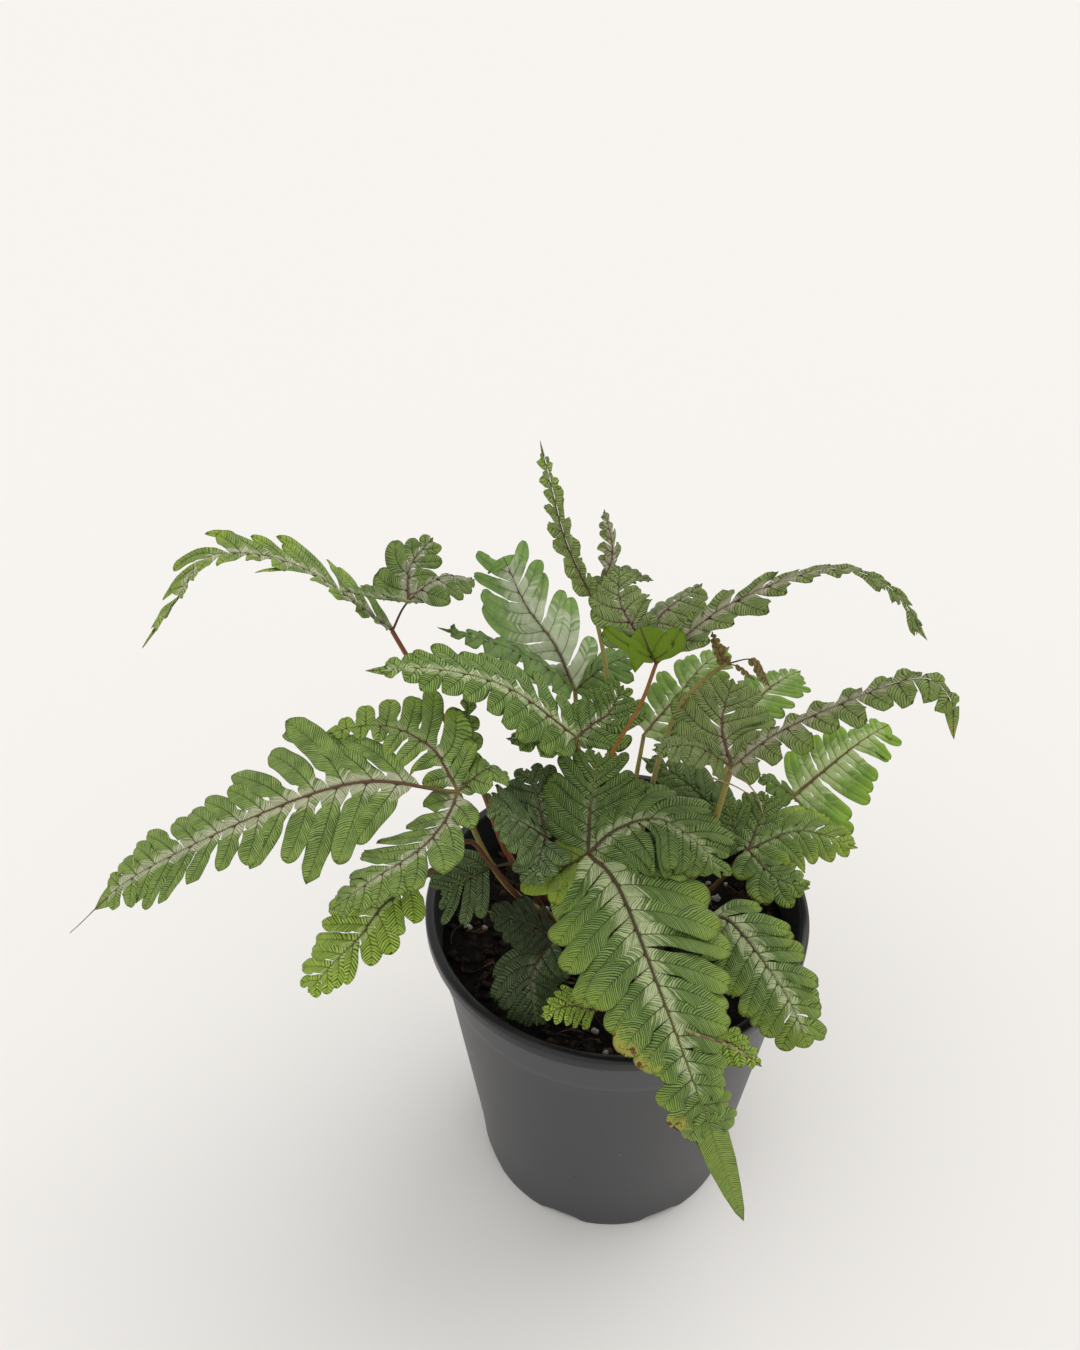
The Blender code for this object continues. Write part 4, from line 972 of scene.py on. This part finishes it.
def potOutline():
    # Half section, from the middle of the floor up the inside, round the rim and down to the foot
    shape = potShape
    under = shape["height"] - shape["rimHeight"]
    inner = wallRadius(under) - shape["wall"]
    step = under - shape["collar"]
    straight = np.linspace(0.1, 0.95, 12)
    low = np.array([wallRadius(shape["floor"]) - shape["wall"], shape["floor"] + 2])
    inside = low + straight[:, None] * (np.array([inner, under]) - low)
    parts = [
        [(4, shape["floor"]), (20, shape["floor"]), (34, shape["floor"]), (45, shape["floor"])],
        arcPoints((low[0] - 2, low[1]), 2, -90, 0, 6),
        inside,
        [(inner, under), (inner + 0.25, under + 3.4)],
        arcPoints((inner + 1.95, under + 4.3), 1.7, 180, 90, 7),
        arcPoints((shape["rimRadius"] - 1.5, under + 4.5), 1.5, 90, 0, 7),
        arcPoints((shape["rimRadius"] - 1.0, under + 1.2), 1.0, 0, -90, 6),
        [(wallRadius(under) + 0.9, under + 0.1), (wallRadius(under) + 0.1, under - 0.5)],
        [(wallRadius(z), z) for z in np.linspace(under - 2, step + 0.8, 7)],
        arcPoints((wallRadius(step) - 0.9, step + 0.5), 0.9, 0, -80, 5),
        [(wallRadius(step) - 0.85, step - 1.0)],
        [(wallRadius(z) - 0.8, z) for z in np.linspace(step - 4, 22, 16)],
        [(56.4, 17), (56.05, 13), (55.7, 9), (55.4, 5), (55.2, 2.4)],
        arcPoints((54, 1), 1, 0, -90, 5),
        [(51.5, 0), (51, 0.3), (51, shape["underside"] - 0.1), (50, shape["underside"])],
        [(40, shape["underside"]), (30, shape["underside"]), (20, shape["underside"])],
        [(9.4, shape["underside"]), (9, shape["underside"] - 0.2), (9, 0.4), (8.6, 0), (3, 0)],
    ]
    return np.vstack([np.asarray(part, float) for part in parts])


def potMesh():
    # The outline turned about Z. In the notches between the feet the base rises on an arc,
    # rise = sqrt(notchRadius^2 - sideways^2) - (notchRadius - notchHeight), and what lies below the underside
    # is squeezed up with it: rise + height * (1 - rise / underside).
    shape = potShape
    outline = potOutline()
    turn = np.arange(shape["steps"]) * math.tau / shape["steps"]
    radius = np.broadcast_to(outline[:, :1], (len(outline), len(turn)))
    height = np.broadcast_to(outline[:, 1:], radius.shape)
    spread = math.tau / shape["notches"]
    sideways = shape["baseRadius"] * np.abs(turn % spread - spread / 2)
    drop = shape["notchRadius"] - shape["notchHeight"]
    rise = np.sqrt(np.clip(shape["notchRadius"] ** 2 - sideways ** 2, 0, None)) - drop
    rise = np.clip(rise, 0, shape["notchHeight"])[None, :]
    feet = (height < shape["underside"]) & (radius > shape["centreFoot"] + 1)
    height = np.where(feet, rise + height * (1 - rise / shape["underside"]), height)
    points = ringPoints(radius, height, turn)
    points = np.vstack([points, [[0, 0, shape["floor"]], [0, 0, 0]]]) * mm
    return (points, *turnedOver(*ringFaces(len(outline), shape["steps"])))


def drainMesh():  # an upright rod through the floor for each notch
    shape = potShape
    shapes = []
    for number in range(shape["notches"]):
        angle = math.tau * (number + 0.5) / shape["notches"]
        middle = np.array([math.cos(angle), math.sin(angle)]) * shape["drainRing"]
        places = np.array([[*middle, 0.5], [*middle, 9.0]]) * mm
        slopes = np.tile([0.0, 0.0, 1.0], (2, 1))
        radii = np.full(2, shape["drainRadius"] * mm)
        shapes.append(tube(places, slopes, [1.0, 0.0, 0.0], radii, shape["drainSides"]))
    return joined(shapes)


def makePotMaterial():
    # Dark plastic in two near greys, pitted and specked. The collar is paler and the rim black, each from a
    # height up, and what lies nearer the axis than the wall's core, the inner face, is painted near black as
    # painted shade.
    look = potLook
    material, build, shader = newMaterial("greyPlastic", {"Specular IOR Level": 0.42})
    place = build.objectPlace()
    broad = build.noise(place, 14, 3)
    fine = build.noise(place, 1600, 3)
    colour = build.mix(build.step(broad, 0.35, 0.65), *look["wall"])
    x, y, z = build.node("ShaderNodeSeparateXYZ", {0: place}).outputs
    colour = build.mix(build.step(z, look["collarFrom"], look["collarTo"]), colour, look["collar"])
    rimShare = build.step(z, look["rimFrom"], look["rimTo"])
    colour = build.mix(rimShare, colour, look["rim"])
    fromAxis = build.math("SQRT", build.plus(build.times(x, x), build.times(y, y)))
    core = build.plus(build.times(z, look["coreSlope"]), look["coreRadius"])
    # painted shade: the pot's inner face is painted near black, as the shadow inside the pot
    inside = build.step(build.minus(core, fromAxis), -0.0001, 0.0001)
    colour = build.mix(inside, colour, look["inside"])
    dots = build.node("ShaderNodeTexVoronoi", {
        "Vector": place, "Scale": look["speckScale"], "Randomness": 1.0}).outputs
    chance = build.node("ShaderNodeSeparateColor", {0: dots["Color"]}).outputs
    pits = build.times(build.step(dots["Distance"], 0.16, 0.08), build.step(chance[0], 0.90, 0.93))
    specks = build.times(build.step(dots["Distance"], 0.09, 0.04), build.step(chance[1], 0.90, 0.93))
    colour = build.mix(build.times(pits, 0.7), colour, look["pits"])
    colour = build.mix(build.times(specks, 0.8), colour, look["specks"])
    build.feed(shader.inputs["Base Color"], colour)
    rough = build.plus(build.times(broad, 0.16), 0.36)
    rough = build.minus(rough, build.times(rimShare, 0.12))
    build.feed(shader.inputs["Roughness"], build.plus(rough, build.times(inside, 0.5), clamp=True))
    height = build.plus(build.times(fine, 0.5), build.times(broad, 6))
    height = build.minus(height, build.times(pits, 2))
    build.feed(shader.inputs["Normal"], build.bump(height, 0.25, 0.0001))
    return material


def addPot():  # the turned shell with its drain holes cut out
    points, quads, triangles = potMesh()
    rough = bpy.data.objects.new("potBlank", buildMesh("potBlank", points, quads, triangles))
    drill = bpy.data.objects.new("drainDrill", buildMesh("drainDrill", *drainMesh(), smooth=False))
    for blank in (rough, drill):
        bpy.context.scene.collection.objects.link(blank)
    cut = rough.modifiers.new("drains", "BOOLEAN")
    cut.operation = "DIFFERENCE"
    cut.object = drill
    graph = bpy.context.evaluated_depsgraph_get()
    mesh = bpy.data.meshes.new_from_object(rough.evaluated_get(graph))
    for blank in (rough, drill):
        bpy.data.objects.remove(blank)
    mesh.name = "potShell"
    mesh.materials.clear()
    mesh.shade_smooth()
    mesh.set_sharp_from_angle(angle=math.radians(50))
    addPiece("potShell", mesh, makePotMaterial(), ["pot"])
    print("pot:", len(mesh.polygons), "faces")


mixShape = {  # the potting mix's body, in metres
    "edge": 0.0685, "height": 0.1238, "mound": 0.0030, "rings": 72, "steps": 180, "floor": 0.0054,
    "wall": [(0.0684, 0.121), (0.0675, 0.112), (0.0535, 0.0085), (0.0513, 0.0056), (0.02, 0.0054)],
    "lumps": 520, "lumpRadii": (0.0012, 0.005), "lumpHeight": 0.0011, "seed": 7,
}
mixLook = {
    "surface": {"Roughness": 0.95, "Specular IOR Level": 0.2}, "grain": (900, 6, 0.65),
    "grainRange": (0.4, 0.68), "colours": ((0.002, 0.0016, 0.0013), (0.011, 0.007, 0.0045)),
    "patch": (160, 4), "patchRange": (0.55, 0.7, 0, 0.6), "patchColour": (0.02, 0.0115, 0.0065), "lift": 2,
    "bump": (1.0, 0.0012),
}


def mixLumps():  # places, radii and heights of the lumps in its surface
    rng = np.random.default_rng(mixShape["seed"])
    count = mixShape["lumps"]
    turn = rng.uniform(0, math.tau, count)
    away = mixShape["edge"] * np.sqrt(rng.random(count))
    radii = rng.uniform(*mixShape["lumpRadii"], count)
    heights = rng.uniform(-0.5, 1.0, count) * mixShape["lumpHeight"]
    return np.stack([away * np.cos(turn), away * np.sin(turn)], 1), radii, heights


def mixHeight(x, y):
    # A low mound, mound * (1 - (r / edge)^4), and the sum of the lumps' bells exp(-(distance / radius)^2)
    middles, radii, heights = mixLumps()
    flat = np.stack([x, y], 1)
    gaps = ((flat[:, None] - middles[None]) ** 2).sum(-1)
    lumps = (heights * np.exp(-gaps / radii ** 2)).sum(-1)
    away = np.linalg.norm(flat, axis=1) / mixShape["edge"]
    lumps = lumps * (1 - ease(away, 0.93, 1.0))
    return mixShape["height"] + mixShape["mound"] * (1 - away ** 4) + lumps


def addMixSurface():
    # Rings from the middle out to the edge at mixHeight, then down the wall and in along the floor
    shape = mixShape
    turn = np.arange(shape["steps"]) * math.tau / shape["steps"]
    radii = shape["edge"] * (np.arange(1, shape["rings"] + 1) / shape["rings"])
    top = ringPoints(radii[:, None], 0, turn)
    top[:, 2] = mixHeight(top[:, 0], top[:, 1])
    wall = np.array(shape["wall"])
    middles = [[0, 0, float(mixHeight(np.zeros(1), np.zeros(1))[0])], [0, 0, shape["floor"]]]
    points = np.vstack([top, ringPoints(wall[:, :1], wall[:, 1:], turn), middles])
    faces = turnedOver(*ringFaces(shape["rings"] + len(wall), shape["steps"]))
    addPiece("pottingMix", buildMesh("pottingMix", points, *faces), grainyMaterial("pottingMixDark", mixLook),
             ["potting_mix"])


def turnsFrom(yaw, pitch, roll):  # one rotation matrix per row: Z by yaw, then Y by pitch, then X by roll
    cosYaw, sinYaw, cosPitch, sinPitch = np.cos(yaw), np.sin(yaw), np.cos(pitch), np.sin(pitch)
    cosRoll, sinRoll, none, one = np.cos(roll), np.sin(roll), np.zeros_like(yaw), np.ones_like(yaw)
    aroundZ = np.stack([cosYaw, -sinYaw, none, sinYaw, cosYaw, none, none, none, one], 1).reshape(-1, 3, 3)
    aroundY = np.stack([cosPitch, none, sinPitch, none, one, none, -sinPitch, none, cosPitch], 1)
    aroundX = np.stack([one, none, none, none, cosRoll, -sinRoll, none, sinRoll, cosRoll], 1)
    return aroundZ @ aroundY.reshape(-1, 3, 3) @ aroundX.reshape(-1, 3, 3)


def pebbles(places, sizes, turns, roundness, rng):
    # Many small lumps: the 26 outer points of a 3 x 3 x 3 lattice, drawn towards a ball by roundness,
    # jittered, scaled, turned and moved. Each has 24 quads.
    lattice = np.array([(i, j, k) for i in (-1, 0, 1) for j in (-1, 0, 1) for k in (-1, 0, 1)
                        if (i, j, k) != (0, 0, 0)], float)
    number = {tuple(point): index for index, point in enumerate(lattice.astype(int).tolist())}
    quads = []
    for axis in range(3):
        for sign in (-1, 1):
            for i in (-1, 0):
                for j in (-1, 0):
                    square = [(i, j), (i + 1, j), (i + 1, j + 1), (i, j + 1)]
                    corners = [number[tuple(np.insert(pair, axis, sign).tolist())] for pair in square]
                    quads.append(corners if (sign > 0) == (axis != 1) else corners[::-1])
    ball = unit(lattice)
    base = lattice * (1 - roundness) + ball * roundness * 1.2
    shapes = base[None] * (1 + rng.normal(0, 0.12, (len(places), 26, 3)))
    points = np.einsum("nij,nkj->nki", turns, shapes * sizes[:, None]) + places[:, None]
    faces = np.array(quads)[None] + (np.arange(len(places)) * 26)[:, None, None]
    return points.reshape(-1, 3), faces.reshape(-1, 4)


def scattered(count, rng, near, far):  # places on the mix between two radii
    turn = rng.uniform(0, math.tau, count)
    away = np.sqrt(rng.uniform(near ** 2, far ** 2, count))
    x, y = away * np.cos(turn), away * np.sin(turn)
    return np.stack([x, y, mixHeight(x, y)], 1)


mixPieces = {  # what lies on the mix, in metres, but sizes and radii in mm; reach is how far from the axis
    "bark": {
        "count": 520, "reach": 0.0655, "sizes": ((0.8, 3.6), (0.6, 1.9), (0.25, 0.8)), "roundness": 0.35,
        "tilt": 0.35, "lift": (0.1, 0.9)},
    "perlite": {"count": 60, "reach": 0.066, "size": (0.45, 1.5), "stretch": (0.75, 1.2), "roundness": 0.9,
                "lift": 0.4},
    "fibres": {"count": 110, "from": 0.01, "reach": 0.062, "edge": 0.0655, "length": (0.004, 0.014),
               "radii": (0.1, 0.28), "above": 0.0006, "arch": 0.0015, "steps": 6, "sides": 5},
    "seed": 23,
}
mixPieceLooks = {
    "bark": {
        "surface": {"Roughness": 0.85, "Specular IOR Level": 0.2}, "grain": (420, 5),
        "grainRange": (0.35, 0.7), "colours": ((0.004, 0.0024, 0.0017), (0.021, 0.0115, 0.006)),
        "patch": (140, 2), "patchRange": (0.56, 0.66, 0, 0.7), "patchColour": (0.07, 0.036, 0.018),
        "bump": (0.7, 0.0004)},
    "perlite": {
        "surface": {"Roughness": 0.9}, "grain": (2200, 3), "grainRange": (0.4, 0.65),
        "colours": ((0.22, 0.21, 0.18), (0.5, 0.49, 0.46)), "bump": (0.6, 0.0002)},
    "fibres": {
        "surface": {"Roughness": 0.8}, "grain": (200, 3), "grainRange": (0.4, 0.6),
        "colours": ((0.035, 0.018, 0.01), (0.14, 0.08, 0.04))},
}


def addBark(rng):  # flat chips, faceted, lying nearly level
    shape = mixPieces["bark"]
    count = shape["count"]
    places = scattered(count, rng, 0.0, shape["reach"])
    sizes = np.stack([rng.uniform(low, high, count) for low, high in shape["sizes"]], 1) * mm
    turns = turnsFrom(rng.uniform(0, math.tau, count), rng.normal(0, shape["tilt"], count),
                      rng.normal(0, shape["tilt"], count))
    places[:, 2] += sizes[:, 2] * rng.uniform(*shape["lift"], count)
    points, quads = pebbles(places, sizes, turns, shape["roundness"], rng)
    addPiece("barkChips", buildMesh("barkChips", points, quads, smooth=False),
             grainyMaterial("barkChips", mixPieceLooks["bark"]))


def addPerlite(rng):  # small pale grains, nearly round
    shape = mixPieces["perlite"]
    count = shape["count"]
    places = scattered(count, rng, 0.0, shape["reach"])
    sizes = rng.uniform(*shape["size"], count)[:, None] * rng.uniform(*shape["stretch"], (count, 3)) * mm
    places[:, 2] += sizes[:, 2] * shape["lift"]
    turns = turnsFrom(*rng.uniform(0, math.tau, (3, count)))
    points, quads = pebbles(places, sizes, turns, shape["roundness"], rng)
    addPiece("perliteGrains", buildMesh("perliteGrains", points, quads),
             grainyMaterial("perlite", mixPieceLooks["perlite"]))


def addFibres(rng):
    # Threads that follow the mix a little above it, each a bent line arched by arch * sin(pi * t)
    shape = mixPieces["fibres"]
    t = np.linspace(0, 1, shape["steps"])
    shapes = []
    for start in scattered(shape["count"], rng, shape["from"], shape["reach"]):
        heading = rng.uniform(0, math.tau)
        bend = rng.normal(0, 0.6)
        length = rng.uniform(*shape["length"])
        x = start[0] + length * t * np.cos(heading + bend * t)
        y = start[1] + length * t * np.sin(heading + bend * t)
        away = np.maximum(np.hypot(x, y) / shape["edge"], 1)
        x, y = x / away, y / away
        z = mixHeight(x, y) + shape["above"] + shape["arch"] * rng.random() * np.sin(t * math.pi)
        path = np.stack([x, y, z], 1)
        slopes = unit(np.gradient(path, axis=0) + 1e-9)
        radii = rng.uniform(*shape["radii"]) * mm * (1 - 0.5 * t)
        shapes.append(tube(path, slopes, [0.0, 0.0, 1.0], radii, shape["sides"]))
    addPiece("rootFibres", buildMesh("rootFibres", *joined(shapes)),
             grainyMaterial("rootFibres", mixPieceLooks["fibres"]))


def addPottingMix():
    addMixSurface()
    rng = np.random.default_rng(mixPieces["seed"])
    addBark(rng)
    addPerlite(rng)
    addFibres(rng)
    print("potting mix:", mixPieces["bark"]["count"], "chips,", mixPieces["perlite"]["count"], "white grains")


crownLook = {
    "surface": {"Roughness": 0.85}, "grain": (520, 5, 0.65), "grainRange": (0.38, 0.66),
    "colours": ((0.018, 0.009, 0.005), (0.13, 0.06, 0.025)), "bump": (1.0, 0.0008),
}


def addCrown():
    # A dome, the CAD's, with lumps: radius and height times 1 + a sum of waves around it
    shape = crownShape
    t = np.linspace(0.02, 1, shape["rows"])[:, None]
    turn = (np.arange(shape["columns"]) * math.tau / shape["columns"])[None, :]
    lumps = (1 + 0.05 * np.sin(turn * 5 + t * 7) + 0.05 * np.sin(turn * 9 - t * 11)
             + 0.03 * np.sin(turn * 17 + t * 23))
    radius = shape["radius"] * np.sin(t * math.pi / 2) * (1 + (lumps - 1) * t) * 0.97
    height = shape["base"] + shape["height"] * np.cos(t * math.pi / 2) * lumps
    dome = ringPoints(radius, height, turn)
    floor = dome[-shape["columns"]:] * np.array([0.9, 0.9, 1]) - np.array([0, 0, shape["underside"]])
    middles = [[0, 0, shape["base"] + shape["height"]], [0, 0, shape["base"] - shape["underside"]]]
    points = np.vstack([dome, floor, middles])
    faces = turnedOver(*ringFaces(shape["rows"] + 1, shape["columns"]))
    material = grainyMaterial("crownBark", crownLook)
    addPiece("crownStock", buildMesh("crownStock", points, *faces), material, ["crown"])

    # Thin brown scales that stand on it, each a short curved thread leaning outwards
    rng = np.random.default_rng(shape["seed"])
    t = np.linspace(0, 1, shape["scaleSteps"])[:, None]
    shapes = []
    for _ in range(shape["scales"]):
        angle = rng.uniform(0, math.tau)
        away = shape["scaleReach"] * math.sqrt(rng.random())
        heading = angle + rng.normal(0, 0.8)
        base = np.array([away * math.cos(angle), away * math.sin(angle), crownHeight(away) - 0.0004])
        lift = np.array([math.cos(heading) * 0.6, math.sin(heading) * 0.6, 1.0])
        path = base + rng.uniform(*shape["scaleLength"]) * (lift * t + np.array([0, 0, -0.5]) * t ** 2)
        slopes = unit(np.gradient(path, axis=0))
        radii = shape["scaleRadius"] * (1 - 0.7 * t[:, 0])
        shapes.append(tube(path, slopes, [1.0, 0.2, 0.1], radii, shape["scaleSides"]))
    addPiece("crownScales", buildMesh("crownScales", *joined(shapes)), material)
    print("crown: dome and", len(shapes), "scales")


dryThreads = {  # thin dried stalks, in millimetres: what they pass and their radius
    "hubLeft": {"path": [(26.7, -25, 231.7), (35.4, -27, 229.4), (44.6, -30, 224.5)], "radius": 0.35},
    "hubRight": {"path": [(38, -20, 228), (44, -24, 222), (47, -29, 214)], "radius": 0.3},
    "overFront": {"path": [(17, -86, 177), (20.9, -88, 176.6), (30, -90, 174.4), (38.9, -93, 170.6)],
                  "radius": 0.55},
    "inPot": {"path": [(-42, -20, 133), (-30, -34, 138), (-22, -46, 136), (-12, -52, 130)], "radius": 0.45},
}
dryLook = {
    "surface": {"Roughness": 0.7}, "grain": (300, 3), "grainRange": (0.35, 0.65),
    "colours": ((0.10, 0.06, 0.025), (0.34, 0.27, 0.13)),
}


def addDryThreads():
    steps, sides = 25, 8
    shapes = []
    for thread in dryThreads.values():
        places, slopes, _ = smoothPath(np.array(thread["path"]) * mm, steps)
        radii = thread["radius"] * mm * np.linspace(1, 0.45, steps)
        shapes.append(tube(places, slopes, [0.1, 0.3, 1.0], radii, sides))
    mesh = buildMesh("driedThreads", *joined(shapes))
    addPiece("driedThreads", mesh, grainyMaterial("driedStalk", dryLook))
    print("dried threads:", len(shapes))


studio = {  # metres, degrees and linear colours; a lamp's direction is where its light comes from
    "floorSize": 60.0, "floorColour": (0.868, 0.85, 0.83), "sky": (1.0, 0.995, 0.985), "skyStrength": 0.80,
    "lamps": {
        "keyLamp": {"from": (1.1, 0.9, 1.7), "strength": 0.9, "spread": 50, "colour": (1.0, 0.98, 0.95)},
        "fillLamp": {"from": (-1.4, -1.2, 1.5), "strength": 0.3, "spread": 70, "colour": (0.97, 0.98, 1.0)},
    },
    "cameraPlace": (-0.030, -0.350, 0.531), "cameraTilt": 51.8, "lens": 35.0, "sensor": 36.0,
}


def addStudio():
    scene = bpy.context.scene
    scene.view_settings.view_transform = "Standard"
    half = studio["floorSize"] / 2
    corners = np.array([[-half, -half, 0], [half, -half, 0], [half, half, 0], [-half, half, 0]])
    mesh = buildMesh("studioFloor", corners, np.array([[0, 1, 2, 3]]), smooth=False)
    look = {"Roughness": 0.9, "Specular IOR Level": 0.1, "Base Color": studio["floorColour"]}
    mesh.materials.append(newMaterial("paleFloor", look)[0])
    floor = bpy.data.objects.new("studioFloor", mesh)
    scene.collection.objects.link(floor)

    world = bpy.data.worlds.new("studioWorld")
    scene.world = world
    world.use_nodes = True
    sky = world.node_tree.nodes["Background"]
    sky.inputs["Color"].default_value = socketValue(studio["sky"])
    sky.inputs["Strength"].default_value = studio["skyStrength"]

    for name, values in studio["lamps"].items():
        data = bpy.data.lights.new(name, "SUN")
        data.energy = values["strength"]
        data.angle = math.radians(values["spread"])
        data.color = values["colour"]
        lamp = bpy.data.objects.new(name, data)
        lamp.location = values["from"]
        east, north, up = values["from"]
        steepness = math.atan2(math.hypot(east, north), up)
        lamp.rotation_euler = (steepness, 0, math.atan2(north, east) + math.pi / 2)
        scene.collection.objects.link(lamp)

    data = bpy.data.cameras.new("viewCamera")
    data.sensor_fit = "VERTICAL"
    data.sensor_height = studio["sensor"]
    data.lens = studio["lens"]
    data.clip_end = 100
    camera = bpy.data.objects.new("viewCamera", data)
    camera.location = studio["cameraPlace"]
    camera.rotation_euler = (math.radians(studio["cameraTilt"]), 0, 0)
    scene.collection.objects.link(camera)
    scene.camera = camera
    print("studio: floor, lamps and camera")


addStudio()
addPot()
addPottingMix()
addCrown()
addFronds()
addDryThreads()
